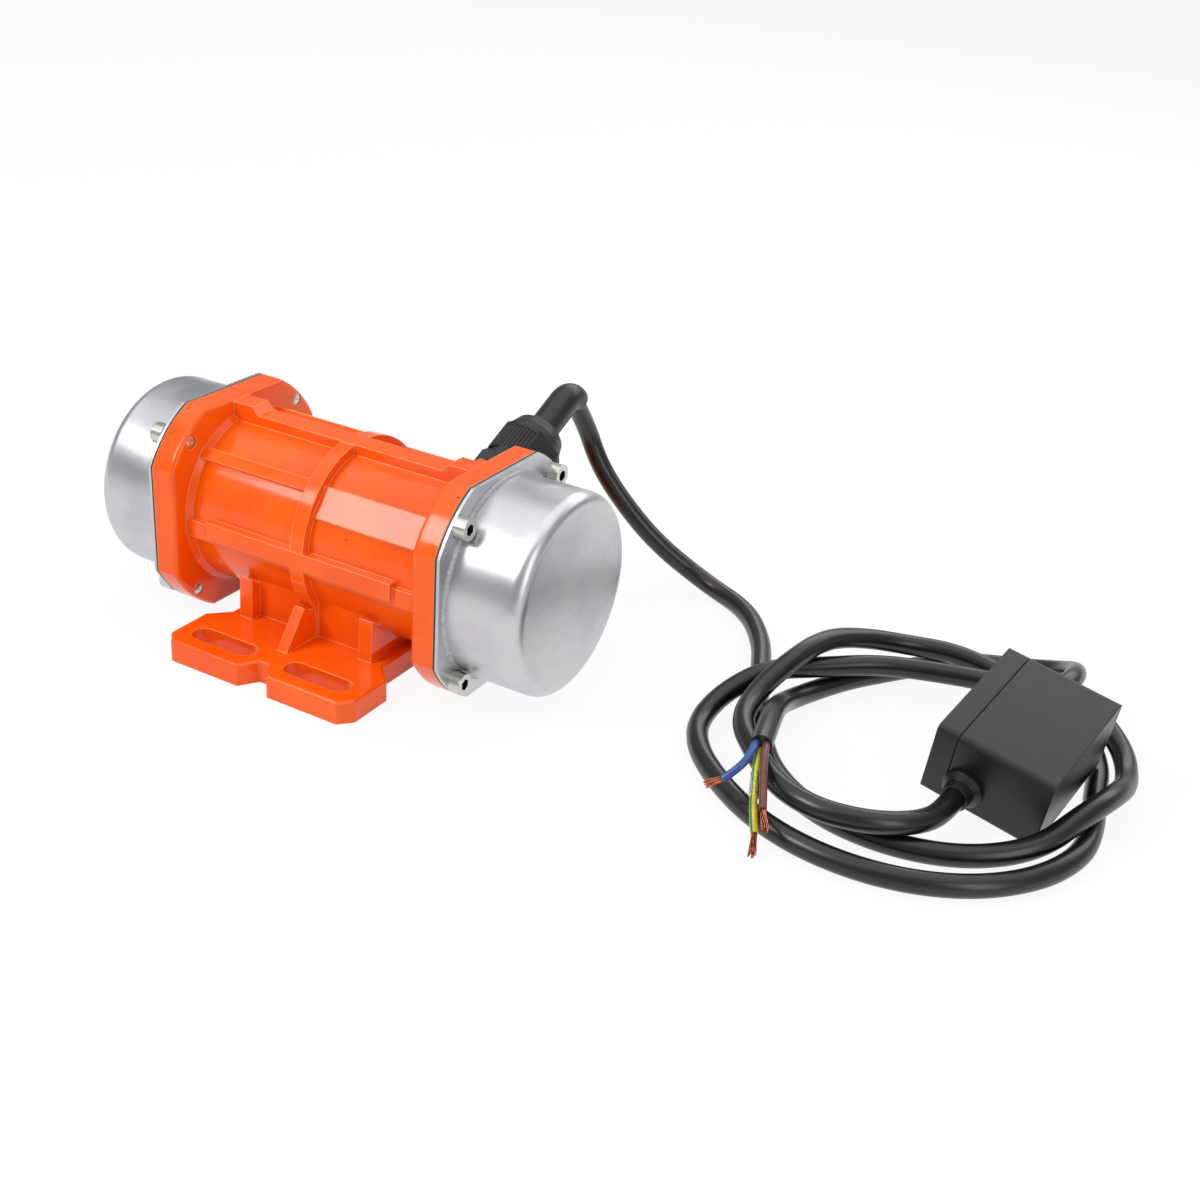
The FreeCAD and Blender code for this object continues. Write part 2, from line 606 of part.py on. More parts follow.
def make_weights():
    low = "weight_start"
    solid, bore = weight_blank("fixed", low)
    keyway = block("weight_keyway", (low + " - 1", low + " + weight_thick + 1"),
                   ("-key_width / 2 - seat_gap", "key_width / 2 + seat_gap"),
                   ("axis_height", "axis_height + shaft_end + key_height / 2 + seat_gap"))
    both_sides("fixed_weight", cut("fixed_weight", solid, bore, keyway))
    key = block("weight_key", (low, low + " + weight_thick"), ("-key_width / 2", "key_width / 2"),
                ("axis_height + shaft_end - key_height / 2", "axis_height + shaft_end + key_height / 2"))
    both_sides("weight_key", key)

    low = "weight_start + weight_thick + weight_gap"
    solid, bore = weight_blank("movable", low)
    slit = block("weight_slit", (low + " - 1", low + " + weight_thick + 1"),
                 ("-clamp_slit / 2", "clamp_slit / 2"), ("axis_height", "axis_height + weight_hub + 1"))
    middle = low + " + weight_thick / 2"
    height = "axis_height + clamp_height"
    hole = rod("clamp_hole", "clamp_radius + screw_gap", "2 * weight_hub", (middle, "-weight_hub", height), "Y")
    both_sides("movable_weight", cut("movable_weight", solid, bore, slit, hole))
    reach = "sqrt(weight_hub ^ 2 - clamp_height ^ 2)"
    shank = rod("clamp_shank", "clamp_radius", "2 * (%s)" % reach, (middle, "-(%s)" % reach, height), "Y")
    head = rod("clamp_head", "clamp_radius * 1.7", "clamp_radius * 2",
               (middle, "-(%s) - clamp_radius * 2" % "weight_hub * 0.86", height), "Y")
    drive = hexagon("clamp_drive", "clamp_radius * 1.6", "clamp_radius * 1.2",
                    (middle, "-(weight_hub * 0.86) - clamp_radius * 2", height), ALONG["Y"])
    both_sides("clamp_bolt", cut("clamp_bolt", fuse("clamp_blank", shank, head), drive))

    start = low + " + weight_thick + weight_gap"
    outer = axis_rod("retainer_outer", "ring_radius", start, start + " + ring_thick")
    inner = axis_rod("retainer_inner", "shaft_end", start + " - 1", start + " + ring_thick + 1")
    both_sides("retaining_ring", cut("retainer", outer, inner))


# ---------------------------------------------------------------- covers
def cover_sheet(name, low, high, opening):
    """A sheet with the flange's outline, screw holes and a round opening."""
    blank = flange_blank(name + "_blank", low, high)
    hole = axis_rod(name + "_opening", opening, low + " - 1", high + " + 1")
    return cut(name, blank, hole, *screw_holes(name, low + " - 1", high + " + 1"))


def cap_screw(name, y, z):
    """Socket head screw through the cover and the flange, its tip just inside the hole."""
    length = COVER_SEAT + " - " + FLANGE_INNER + " - 0.5"
    shank = rod(name + "_shank", "cover_screw_radius", length, (FLANGE_INNER + " + 0.5", y, z))
    head = rod(name + "_head", "head_radius", "head_height", (COVER_SEAT, y, z))
    drive = hexagon(name + "_drive", "socket_size", "socket_depth + 1",
                    (COVER_SEAT + " + head_height - socket_depth", y, z), ALONG["X"])
    return cut(name, fuse(name + "_blank", shank, head), drive)


def make_covers():
    gasket_end = "flange_face + gasket_thick"
    both_sides("gasket", cover_sheet("gasket", "flange_face", gasket_end, "cup_radius - cup_wall - 1"))
    both_sides("cover_plate", cover_sheet("cover_plate", gasket_end, COVER_SEAT, "cup_radius - cup_wall"))

    cup = axis_turned("cup", [
        (COVER_SEAT, "cup_radius - cup_wall"), (COVER_SEAT, "cup_radius"), ("cup_end", "cup_radius"),
        ("cup_end", "0"), ("cup_end - cup_wall", "0"), ("cup_end - cup_wall", "cup_radius - cup_wall")])
    doc.recompute()

    def end_rim(radius, x):
        for index, edge in enumerate(cup.Shape.Edges, start=1):
            curve = edge.Curve
            if isinstance(curve, Part.Circle) and abs(curve.Radius - radius) < 0.01 and \
                    abs(curve.Center.x - x) < 0.01:
                return "Edge%d" % index
        raise RuntimeError("the cup has no such rim")
    outer_rim = end_rim(size("cup_radius"), size("cup_end"))
    inner_rim = end_rim(size("cup_radius - cup_wall"), size("cup_end - cup_wall"))
    turn = cup.Tip
    for name, rim, radius in (("cup_outer_round", outer_rim, "cup_round"),
                              ("cup_inner_round", inner_rim, "cup_round - cup_wall")):
        if name == "cup_inner_round":
            doc.recompute()
            rim = end_rim(size("cup_radius - cup_wall"), size("cup_end - cup_wall"))
        blend = cup.newObject("PartDesign::Fillet", name)
        blend.Base = (turn, [rim])
        blend.setExpression("Radius", bind(radius))
        cup.Tip = blend
        turn = blend
    both_sides("cover_cup", cup)

    bead = axis_turned("bead", [
        (COVER_SEAT, "cup_radius"), (COVER_SEAT, "cup_radius + bead_size"),
        (COVER_SEAT + " + bead_size * 0.4", "cup_radius + bead_size * 0.75"),
        (COVER_SEAT + " + bead_size * 0.75", "cup_radius + bead_size * 0.4"),
        (COVER_SEAT + " + bead_size", "cup_radius")])
    heads = [rod("bead_relief_%d" % number, "head_radius + head_gap / 2", "head_height",
                 (COVER_SEAT + " - 1", y, z)) for number, (y, z) in enumerate(screw_places())]
    both_sides("weld_bead", cut("weld_bead", bead, *heads))

    screws = [cap_screw("cover_screw_%d" % number, y, z) for number, (y, z) in enumerate(screw_places())]
    both_sides("cover_screws", group("cover_screws", screws))


# ---------------------------------------------------------------- gland
def grip_body(low, high):
    """The nut's grip: a round body with three smooth wrench flats and fine grooves between them."""
    outer = gland_rod("nut_grip", "nut_radius", low, high)
    spread = 120
    tools = []
    for third in range(3):
        middle = 90 + spread * third
        flat = block("nut_flat_%d" % third, ("nut_flat", "nut_radius + 1"), ("-nut_radius", "nut_radius"),
                     ("0", "nut_length"))
        aim = gland_turn().multiply(Rotation(Vector(0, 0, 1), middle))
        shift = Vector(size("nut_flat"), -size("nut_radius"), 0)
        tools.append(gland_shifted(flat, low, aim, shift))
        for step in range(-5, 6):
            aim = gland_turn().multiply(Rotation(Vector(0, 0, 1), middle + spread / 2 + step * 6))
            groove = doc.addObject("Part::Cylinder", "nut_groove_%d_%d" % (third, step + 5))
            groove.setExpression("Radius", bind("groove_radius"))
            groove.setExpression("Height", bind("(%s) - (%s) - 1.6" % (high, low)))
            tools.append(gland_shifted(groove, low, aim, Vector(size("nut_radius"), 0, -0.1)))
    return cut("nut_grooved", outer, *tools)


def gland_shifted(feature, distance, aim, shift):
    """Place a feature on the gland's line, turned by aim and moved by a shift in its own frame."""
    feature.Placement = FreeCAD.Placement(Vector(), aim)
    move = aim.multVec(shift)
    for axis, formula, offset in zip("xyz", gland_place(distance), move):
        feature.setExpression("Placement.Base." + axis, bind("%s + (%r)" % (formula, offset)))
    return feature


def make_gland():
    base = "boss_reach"
    hex_end = base + " + gland_hex_length"
    stub_end = hex_end + " + gland_stub_length"
    flats = hexagon("gland_hex_prism", "gland_hex", "gland_hex_length", gland_place(base),
                    gland_turn().multiply(Rotation(Vector(0, 0, 1), 30)))
    trim = gland_rod("gland_hex_trim", "gland_hex / 2 + 1.2", base, hex_end)
    body = fuse("gland_blank", common("gland_hexagon", flats, trim),
                gland_rod("gland_tail", "gland_thread", "stator_bore + 0.5", base),
                gland_rod("gland_stub", "gland_stub", hex_end, stub_end))
    bore = gland_rod("gland_bore", "sleeve_radius + seat_gap", "stator_bore - 1", stub_end + " + 1")
    part("gland_body", cut("gland_body", body, bore))

    seat = hex_end + " + 0.2"
    ring = seat + " + nut_length"
    mouth = ring + " + dome_length"
    grip = grip_body(seat, ring)
    dome = turned("nut_dome", [("0", "0"), ("0", "dome_radius"), ("dome_length * 0.35", "dome_radius - 0.4"),
                               ("dome_length * 0.75", "dome_radius * 0.86"), ("dome_length", "dome_mouth"),
                               ("dome_length", "0")])
    face_out = gland_turn().multiply(Rotation(Vector(0, 1, 0), -90))
    place(dome, *gland_place(ring), turn=face_out)
    chamber = gland_rod("nut_chamber", "gland_stub + seat_gap", seat + " - 1",
                        stub_end + " + seal_length + 0.4")
    outlet = gland_rod("nut_outlet", "sleeve_radius + seat_gap", seat, mouth + " + 1")
    part("gland_nut", cut("gland_nut", fuse("nut_blank", grip, dome), chamber, outlet))

    seal_low = stub_end + " + 0.2"
    seal = gland_rod("seal_outer", "gland_stub - 0.2", seal_low, seal_low + " + seal_length")
    hole = gland_rod("seal_inner", "sleeve_radius + seat_gap", seal_low + " - 1", seal_low + " + seal_length + 1")
    part("gland_seal", cut("gland_seal", seal, hole))

    straight = gland_rod("sleeve_rod", "sleeve_radius", hex_end, mouth + " + sleeve_length")
    bend = doc.addObject("Part::Torus", "sleeve_bend")
    bend.setExpression("Radius1", bind("sleeve_bend"))
    bend.setExpression("Radius2", bind("sleeve_radius"))
    bend.setExpression("Angle3", bind("sleeve_turn"))
    downward = Rotation(Vector(0, -1, 0), Vector(0, 0, 1), Vector(-1, 0, 0), "XYZ")
    place(bend, *bend_middle(), turn=gland_turn().multiply(downward))
    tip = gland_end()

    def far_rim(edge):
        return isinstance(edge.Curve, Part.Circle) and (edge.Curve.Center - tip).Length < 0.01
    sleeve = fuse("sleeve_blank", straight, bend)
    part("cable_sleeve", rounded("sleeve", sleeve, "sleeve_round", far_rim))


def bend_middle():
    """The point that the sleeve's end bends about, below the end of its straight run."""
    reach = "(boss_reach + gland_hex_length + 0.2 + nut_length + dome_length + sleeve_length)"
    return ("gland_x", reach + " * cos(gland_rise) + sleeve_bend * sin(gland_rise)",
            "axis_height + " + reach + " * sin(gland_rise) - sleeve_bend * cos(gland_rise)")


def gland_end():
    """The middle of the sleeve's outer end, where the motor lead starts."""
    middle = Vector(*[size(formula) for formula in bend_middle()])
    droop = math.radians(size("sleeve_turn - gland_rise"))
    return middle + Vector(0, math.sin(droop), math.cos(droop)) * size("sleeve_bend")


# ---------------------------------------------------------------- capacitor box
def box_turn():
    return Rotation(size("box_yaw"), size("box_pitch"), size("box_roll"))


def box_part(label, feature):
    """Register a sub-part drawn in the box's own frame, standing where the box lies."""
    return part(label, place(feature, "box_x", "box_y", "box_z", turn=box_turn()))


def lead_side(edge):
    """True for the box's long edges along X and its end edges, not for the lid seam."""
    return abs(edge.tangentAt(edge.FirstParameter).x) > 0.9


def corner_posts(name, low, high):
    """Four screw posts in the corners between two X places."""
    spans = (("box_wall", "box_wall + post_size"), ("-box_wall - post_size", "-box_wall"))
    posts = []
    for number, (side, level) in enumerate([(y, z) for y in (0, 1) for z in (0, 1)]):
        y_low, y_high = spans[side]
        z_low, z_high = spans[level]
        y_from = "box_depth" if side else "0"
        z_from = "box_height" if level else "0"
        posts.append(block("%s_%d" % (name, number), (low, high), ("%s + %s" % (y_from, y_low), "%s + %s" % (y_from, y_high)),
                           ("%s + %s" % (z_from, z_low), "%s + %s" % (z_from, z_high))))
    return posts


def box_screw_places():
    """Y and Z formulas of the four lid screws in the box's frame."""
    near = ("box_screw_inset", "box_depth - box_screw_inset")
    low = ("box_screw_inset", "box_height - box_screw_inset")
    return [(y, z) for y in near for z in low]


def grommet(name, x, z, y, outward):
    """Rubber grommet, one turned piece: neck in the wall, collar and tapered nose outside."""
    profile = [("0", "0"), ("0", "grommet_neck"), ("box_wall", "grommet_neck"), ("box_wall", "grommet_radius"),
               ("box_wall + 1.6", "grommet_radius"), ("box_wall + 3", "grommet_nose"),
               ("box_wall + grommet_length", "grommet_nose - 0.4"), ("box_wall + grommet_length", "0")]
    body = turned(name + "_turned", profile)
    place(body, x, y, z, turn=Rotation(Vector(0, 0, 1), 90 * outward))
    shell = doc.addObject("Part::Compound", name)
    shell.Links = [body]
    return shell


def make_box():
    wall = "box_wall"
    seam = "lid_thick + lid_seam"
    outer = rounded("box_outer_round", block("box_outer", (seam, "box_length"), ("0", "box_depth"),
                                             ("0", "box_height")), "box_round", lead_side)
    hollow = block("box_hollow", (seam + " - 1", "box_length - " + wall), (wall, "box_depth - " + wall),
                   (wall, "box_height - " + wall))
    post_start = seam + " + lip_depth + 0.3"
    posts = corner_posts("box_post", post_start, post_start + " + post_length")
    shell = fuse("box_shell", cut("box_hollowed", outer, hollow), *posts)
    neck = "grommet_neck + seat_gap"
    tools = [rod("grommet_in_hole", neck, wall + " + 2", ("grommet_in_x", "-1", "grommet_in_z"), "Y"),
             rod("grommet_out_hole", neck, wall + " + 2", ("grommet_out_x", "box_depth - %s - 1" % wall,
                                                           "grommet_out_z"), "Y")]
    tools += [rod("post_hole_%d" % number, "box_screw_radius + screw_gap", "lip_depth + post_length + 1",
                  (seam, y, z))
              for number, (y, z) in enumerate(box_screw_places())]
    box_part("box_body", cut("box_body", shell, *tools))

    face = rounded("lid_round", block("lid_block", ("0", "lid_thick"), ("0", "box_depth"), ("0", "box_height")),
                   "box_round", lead_side)
    gap = wall + " + lip_gap"
    lip = block("lid_lip", ("lid_thick - 1", seam + " + lip_depth"), (gap, "box_depth - (%s)" % gap),
                (gap, "box_height - (%s)" % gap))
    sinks = [rod("lid_hole_%d" % number, "box_screw_radius + screw_gap", "lid_thick + 6", ("-1", y, z))
             for number, (y, z) in enumerate(box_screw_places())]
    sinks += [rod("lid_sink_%d" % number, "box_screw_head + screw_gap", "2", ("-0.5", y, z))
              for number, (y, z) in enumerate(box_screw_places())]
    box_part("box_lid", cut("box_lid", fuse("lid_blank", face, lip), *sinks))

    screws = []
    for number, (y, z) in enumerate(box_screw_places()):
        shank = rod("box_shank_%d" % number, "box_screw_radius", "lid_thick + 10", ("1", y, z))
        head = rod("box_head_%d" % number, "box_screw_head", "1.2", ("0.3", y, z))
        drive = block("box_drive_%d" % number, ("0", "0.8"), (y + " - box_screw_head", y + " + box_screw_head"),
                      (z + " - 0.3", z + " + 0.3"))
        screws.append(cut("box_screw_%d" % number, fuse("box_screw_blank_%d" % number, shank, head), drive))
    box_part("box_screws", group("box_screws", screws))

    box_part("box_grommet_in", grommet("grommet_in", "grommet_in_x", "grommet_in_z", wall, -1))
    box_part("box_grommet_out", grommet("grommet_out", "grommet_out_x", "grommet_out_z",
                                        "box_depth - " + wall, 1))

    floor = wall + " + seat_gap"
    can = rod("capacitor_can", "capacitor_radius", "capacitor_length",
              ("box_length - %s - inner_gap - capacitor_radius" % wall,
               wall + " + post_size + inner_gap", floor + " + capacitor_radius"), "Y")
    rims = rounded("capacitor", can, "box_round", lambda edge: isinstance(edge.Curve, Part.Circle))
    box_part("capacitor", rims)
    strip_start = post_start + " + post_length + inner_gap"
    strip_end = "box_depth - %s - inner_gap" % wall
    strip_top = floor + " + terminal_height"
    strip = block("terminal_blank", (strip_start, strip_start + " + terminal_width"),
                  (strip_end + " - terminal_length", strip_end), (floor, strip_top))
    clamps = [rod("terminal_screw_%d" % number, "terminal_width / 10", "6",
                  ("%s + terminal_width * %g" % (strip_start, share),
                   strip_end + " - terminal_length / 2", strip_top + " - 3"), "Z")
              for number, share in enumerate((0.2, 0.5, 0.8))]
    box_part("terminal_block", cut("terminal_strip", strip, *clamps))


# ---------------------------------------------------------------- leads
def to_world(x, y, z):
    """A point of the box's frame, given as formulas, in the motor's frame."""
    corner = Vector(size("box_x"), size("box_y"), size("box_z"))
    return corner + box_turn().multVec(Vector(size(x), size(y), size(z)))


def rounded_path(points):
    """Straight runs joined by tangent arcs, each as large as its two runs allow."""
    corners = [Vector(*point) for point in points]
    edges = []
    radii = []
    start = corners[0]
    for before, corner, after in zip(corners, corners[1:], corners[2:]):
        into = corner - before
        out = after - corner
        half_turn = into.getAngle(out) / 2
        back = 0.45 * min(into.Length, out.Length)
        radii.append(back / math.tan(half_turn))
        into.normalize()
        out.normalize()
        enter = corner - into * back
        leave = corner + out * back
        bulge = (out - into).normalize()
        middle = corner + bulge * (radii[-1] / math.cos(half_turn) - radii[-1])
        edges.append(Part.LineSegment(start, enter).toShape())
        edges.append(Part.Arc(enter, middle, leave).toShape())
        start = leave
    edges.append(Part.LineSegment(start, corners[-1]).toShape())
    return Part.Wire(edges), radii


def tube(name, points, radius):
    """A round tube along the rounded path, its volume checked against section times length."""
    path, radii = rounded_path(points)
    heading = Vector(*points[1]) - Vector(*points[0])
    section = Part.Wire(Part.Circle(Vector(*points[0]), heading, size(radius)).toShape())
    shape = path.makePipeShell([section], True, False)
    feature = doc.addObject("Part::Feature", name)
    feature.Shape = shape
    expected = math.pi * size(radius) ** 2 * path.Length
    print("%s: length %.0f mm, radii %s, volume ratio %.4f" % (
        name, path.Length, " ".join("%.0f" % item for item in radii), shape.Volume / expected))
    return feature


def motor_lead_points():
    """From the sleeve down to the floor, twice round the box, then up into its near grommet."""
    start = gland_end()
    droop = math.radians(size("sleeve_turn - gland_rise"))
    finish = to_world("grommet_in_x", "-grommet_length", "grommet_in_z")
    route = [
        (48, 105.5, 51), (60, 105, 37.5), (78, 108, 20), (101, 115, 4.3), (126, 103, 4.3),
        (143, 81, 4.3), (153, 58, 4.3), (162, 36, 4.3), (173, 14, 4.3), (189, -8, 4.3), (212, -21, 4.3),
        (238, -23, 4.3), (262, -15, 4.3), (281, 0, 7), (290, 19, 13.4), (296, 38, 13.4), (297, 58, 7.6),
        (290, 79, 8.6), (275, 92, 13.2), (256, 95, 13.2), (236, 91, 13.0), (214, 85, 13.0),
        (194, 77, 13.0), (177, 62, 13.0), (161, 45, 14.4), (151, 29, 8.6), (149, 11, 4.3), (157, -6, 4.3),
        (172, -21, 4.3), (193, -35, 4.3), (217, -42, 4.3), (243, -41, 4.3), (267, -31, 4.3),
        (285, -13, 4.3), (294, 9, 4.3), (292.5, 30, 4.3), (288, 48, 4.3), (285, 67, 4.3), (275, 88, 4.3),
        (257, 103, 4.3), (237, 107, 8), (217, 105, 13.0), (198, 99, 13.4), (183, 85, 18),
        (174.5, 66, 22.8), (170.4, 45.5, 21.9), (164.3, 27, 14.4), (167.6, 6, 13.0), (181, -10.2, 13.1),
        (195.5, -25, 13.6), (212.5, -31.8, 14.0), (227.9, -29.6, 14.0), (238.6, -22.8, 13.2),
        (245.1, -14.4, 12.0)]
    first = start + Vector(0, math.cos(droop), -math.sin(droop)) * 18
    last = finish - box_turn().multVec(Vector(0, 9, 0))
    return [tuple(start), tuple(first)] + route + [tuple(last), tuple(finish)]


def supply_lead_points():
    """From the far grommet over the loops, under them on the floor, and up to its stripped end."""
    start = to_world("grommet_out_x", "box_depth + grommet_length", "grommet_out_z")
    lead = box_turn().multVec(Vector(0, 12, 0))
    return [tuple(start), tuple(start + lead), (265, 92, 25), (263, 105, 20.5), (255, 116, 13),
            (240, 121.5, 6.5), (222, 118.5, 4.3), (208, 107, 4.3), (196, 91, 4.3), (184, 74, 4.3),
            (175.5, 56, 4.3), (172, 38, 7.2), (175.5, 20, 14.8), (181, 1, 21), (186, -18, 21.7)]


# Each core: where it leaves the sheath's end, round its middle, and the bends after that.
CORE_ROUTES = {
    "core_blue": (-20, [(185.3, -27.1, 20.8), (183.7, -31.3, 18), (180.1, -34.3, 14.4)]),
    "core_brown": (200, [(191, -26.2, 20.8), (194.3, -32.8, 17), (198.3, -41, 13)]),
    "core_earth": (90, [(188.6, -26.6, 18), (191.3, -33, 14.2), (194.6, -40.2, 10.6), (198.6, -46.6, 6.8)]),
}
COPPER_TIPS = {
    "core_blue": (175, -38, 12.2), "core_brown": (203.5, -50, 11), "core_earth": (201.5, -54, 2.8)}


def core_points(name):
    """A core's route from the sheath's end face."""
    before, tip = [Vector(*point) for point in supply_lead_points()[-2:]]
    heading = (tip - before).normalize()
    side = heading.cross(Vector(0, 0, 1)).normalize()
    below = heading.cross(side)
    angle, bends = CORE_ROUTES[name]
    offset = side * math.cos(math.radians(angle)) + below * math.sin(math.radians(angle))
    start = tip + offset * (1.4 * size("core_radius"))
    return [tuple(start), tuple(start + heading * 4)] + bends


def make_leads():
    part("motor_lead", tube("motor_lead", motor_lead_points(), "lead_radius"))
    part("supply_lead", tube("supply_lead", supply_lead_points(), "lead_radius"))
    copper = []
    for name, tip in COPPER_TIPS.items():
        route = core_points(name)
        part(name, tube(name, route, "core_radius"))
        end = Vector(*route[-1])
        reach = Vector(*tip) - end
        start = end + Vector(reach).normalize() * size("strand_gap")
        strand = doc.addObject("Part::Feature", name + "_copper")
        strand.Shape = Part.makeCone(size("core_radius * 0.8"), size("copper_radius"), reach.Length, start, reach)
        copper.append(strand)
    part("copper_ends", group("copper_ends", copper))


# ---------------------------------------------------------------- build
make_housing()
make_badge()
make_stator()
make_end_shields()
make_bearings()
make_shaft()
make_rotor()
make_weights()
make_covers()
make_gland()
make_box()
make_leads()
doc.recompute()

for item in doc.Objects:
    if any(flag in item.State for flag in ("Invalid", "Error")):
        raise RuntimeError("%s failed: %s" % (item.Name, item.State))
for item in parts:
    if item.Shape.isNull() or not item.Shape.isValid() or not item.Shape.Solids:
        raise RuntimeError("%s has no valid shape" % item.Label)

os.makedirs("parts", exist_ok=True)
for item in parts:
    item.Shape.exportStep("parts/%s.step" % item.Label)
print("%d sub-parts, %d solids" % (len(parts), sum(len(item.Shape.Solids) for item in parts)))
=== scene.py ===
"""Vibration motor with its lead and capacitor box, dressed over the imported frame. Metres."""
import json
import math
import random

import bmesh
import bpy
from mathutils import Matrix, Vector


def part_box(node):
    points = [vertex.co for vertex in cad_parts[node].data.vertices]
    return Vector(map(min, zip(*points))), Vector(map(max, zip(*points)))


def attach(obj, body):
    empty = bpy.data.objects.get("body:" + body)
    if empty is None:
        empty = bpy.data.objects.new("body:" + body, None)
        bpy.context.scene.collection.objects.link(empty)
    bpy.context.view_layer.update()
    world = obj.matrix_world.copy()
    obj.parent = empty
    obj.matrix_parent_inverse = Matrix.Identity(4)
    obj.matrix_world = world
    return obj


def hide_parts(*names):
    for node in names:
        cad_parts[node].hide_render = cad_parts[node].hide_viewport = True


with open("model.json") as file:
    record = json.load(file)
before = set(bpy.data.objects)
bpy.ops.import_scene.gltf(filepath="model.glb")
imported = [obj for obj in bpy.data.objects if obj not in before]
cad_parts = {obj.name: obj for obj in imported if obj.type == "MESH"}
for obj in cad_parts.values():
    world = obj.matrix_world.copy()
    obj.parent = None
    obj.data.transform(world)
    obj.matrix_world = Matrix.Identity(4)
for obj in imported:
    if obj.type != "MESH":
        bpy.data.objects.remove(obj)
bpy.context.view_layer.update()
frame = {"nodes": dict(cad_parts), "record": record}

MM = 0.001

# ---------------------------------------------------------------- camera
CAMERA_PLACE = Vector((0.3546, -0.4631, 0.3139))
CAMERA_AZIMUTH = math.radians(27.857)
CAMERA_ELEVATION = math.radians(27.041)
CAMERA_ROLL = math.radians(4.366)
CAMERA_LENS = 48.34
CAMERA_SENSOR = 36

# ---------------------------------------------------------------- leads
LEAD_DIAMETER = 8.2 * MM
CORE_DIAMETER = 2.8 * MM
CORE_OFFSET = 0.7 * CORE_DIAMETER

# Straight runs: of the motor lead at both ends, of the supply lead and of each core at their starts.
RUN_AT_SLEEVE = 18 * MM
RUN_INTO_BOX = 9 * MM
RUN_OUT_OF_BOX = 12 * MM
RUN_OF_CORE = 4 * MM

# The gland's line leans up from +Y. The sleeve runs along it, then bends down at its outer end.
GLAND_X = 41.8 * MM
GLAND_RISE = math.radians(25)
AXIS_HEIGHT = 44.0 * MM
SLEEVE_STRAIGHT = 91.5 * MM
SLEEVE_BEND = 8.0 * MM
SLEEVE_DROOP = math.radians(75) - GLAND_RISE
LEAD_AIM = Vector((0, math.cos(SLEEVE_DROOP), -math.sin(SLEEVE_DROOP)))

# Control points between the straight runs, in mm.
MOTOR_LEAD_ROUTE = [
    (48, 105.5, 51), (60, 105, 37.5), (78, 108, 20), (101, 115, 4.3), (126, 103, 4.3),
    (143, 81, 4.3), (153, 58, 4.3), (162, 36, 4.3), (173, 14, 4.3), (189, -8, 4.3), (212, -21, 4.3),
    (238, -23, 4.3), (262, -15, 4.3), (281, 0, 7), (290, 19, 13.4), (296, 38, 13.4), (297, 58, 7.6),
    (290, 79, 8.6), (275, 92, 13.2), (256, 95, 13.2), (236, 91, 13.0), (214, 85, 13.0),
    (194, 77, 13.0), (177, 62, 13.0), (161, 45, 14.4), (151, 29, 8.6), (149, 11, 4.3), (157, -6, 4.3),
    (172, -21, 4.3), (193, -35, 4.3), (217, -42, 4.3), (243, -41, 4.3), (267, -31, 4.3),
    (285, -13, 4.3), (294, 9, 4.3), (292.5, 30, 4.3), (288, 48, 4.3), (285, 67, 4.3), (275, 88, 4.3),
    (257, 103, 4.3), (237, 107, 8), (217, 105, 13.0), (198, 99, 13.4), (183, 85, 18),
    (174.5, 66, 22.8), (170.4, 45.5, 21.9), (164.3, 27, 14.4), (167.6, 6, 13.0), (181, -10.2, 13.1),
    (195.5, -25, 13.6), (212.5, -31.8, 14.0), (227.9, -29.6, 14.0), (238.6, -22.8, 13.2),
    (245.1, -14.4, 12.0)]
SUPPLY_LEAD_ROUTE = [
    (265, 92, 25), (263, 105, 20.5), (255, 116, 13), (240, 121.5, 6.5), (222, 118.5, 4.3),
    (208, 107, 4.3), (196, 91, 4.3), (184, 74, 4.3), (175.5, 56, 4.3), (172, 38, 7.2),
    (175.5, 20, 14.8), (181, 1, 21), (186, -18, 21.7)]
# Each core's place around the lead's line in degrees, its control points and its copper's tip, in mm.
CORE_ROUTES = {
    "core_blue": (-20, [(185.3, -27.1, 20.8), (183.7, -31.3, 18), (180.1, -34.3, 14.4)]),
    "core_brown": (200, [(191, -26.2, 20.8), (194.3, -32.8, 17), (198.3, -41, 13)]),
    "core_earth": (90, [(188.6, -26.6, 18), (191.3, -33, 14.2), (194.6, -40.2, 10.6), (198.6, -46.6, 6.8)]),
}
COPPER_TIPS = {
    "core_blue": (175, -38, 12.2), "core_brown": (203.5, -50, 11), "core_earth": (201.5, -54, 2.8)}

# The capacitor box's own frame: its low corner and its turn, and where its grommets end in it, in mm.
BOX_PLACE = Vector((234.6, 13.4, 6.7)) * MM
BOX_TURN = (Matrix.Rotation(math.radians(-6.0), 3, "Z") @ Matrix.Rotation(math.radians(8.6), 3, "Y")
            @ Matrix.Rotation(math.radians(9.4), 3, "X"))
GROMMET_IN_END = (14.8, -7.0, 9.9)
GROMMET_OUT_END = (19.0, 62.5, 10.0)


def metres(points):
    """Points in millimetres as vectors in metres."""
    return [Vector(point) * MM for point in points]


def in_box_frame(point):
    """A point given in the capacitor box's own frame, in mm, as a place in the scene."""
    return BOX_PLACE + BOX_TURN @ (Vector(point) * MM)


def sleeve_end():
    """The middle of the sleeve's outer end, where the motor lead starts."""
    gland_aim = Vector((0, math.cos(GLAND_RISE), math.sin(GLAND_RISE)))
    gland_up = Vector((0, -math.sin(GLAND_RISE), math.cos(GLAND_RISE)))
    middle = Vector((GLAND_X, 0, AXIS_HEIGHT)) + gland_aim * SLEEVE_STRAIGHT - gland_up * SLEEVE_BEND
    return middle + Vector((0, math.sin(SLEEVE_DROOP), math.cos(SLEEVE_DROOP))) * SLEEVE_BEND


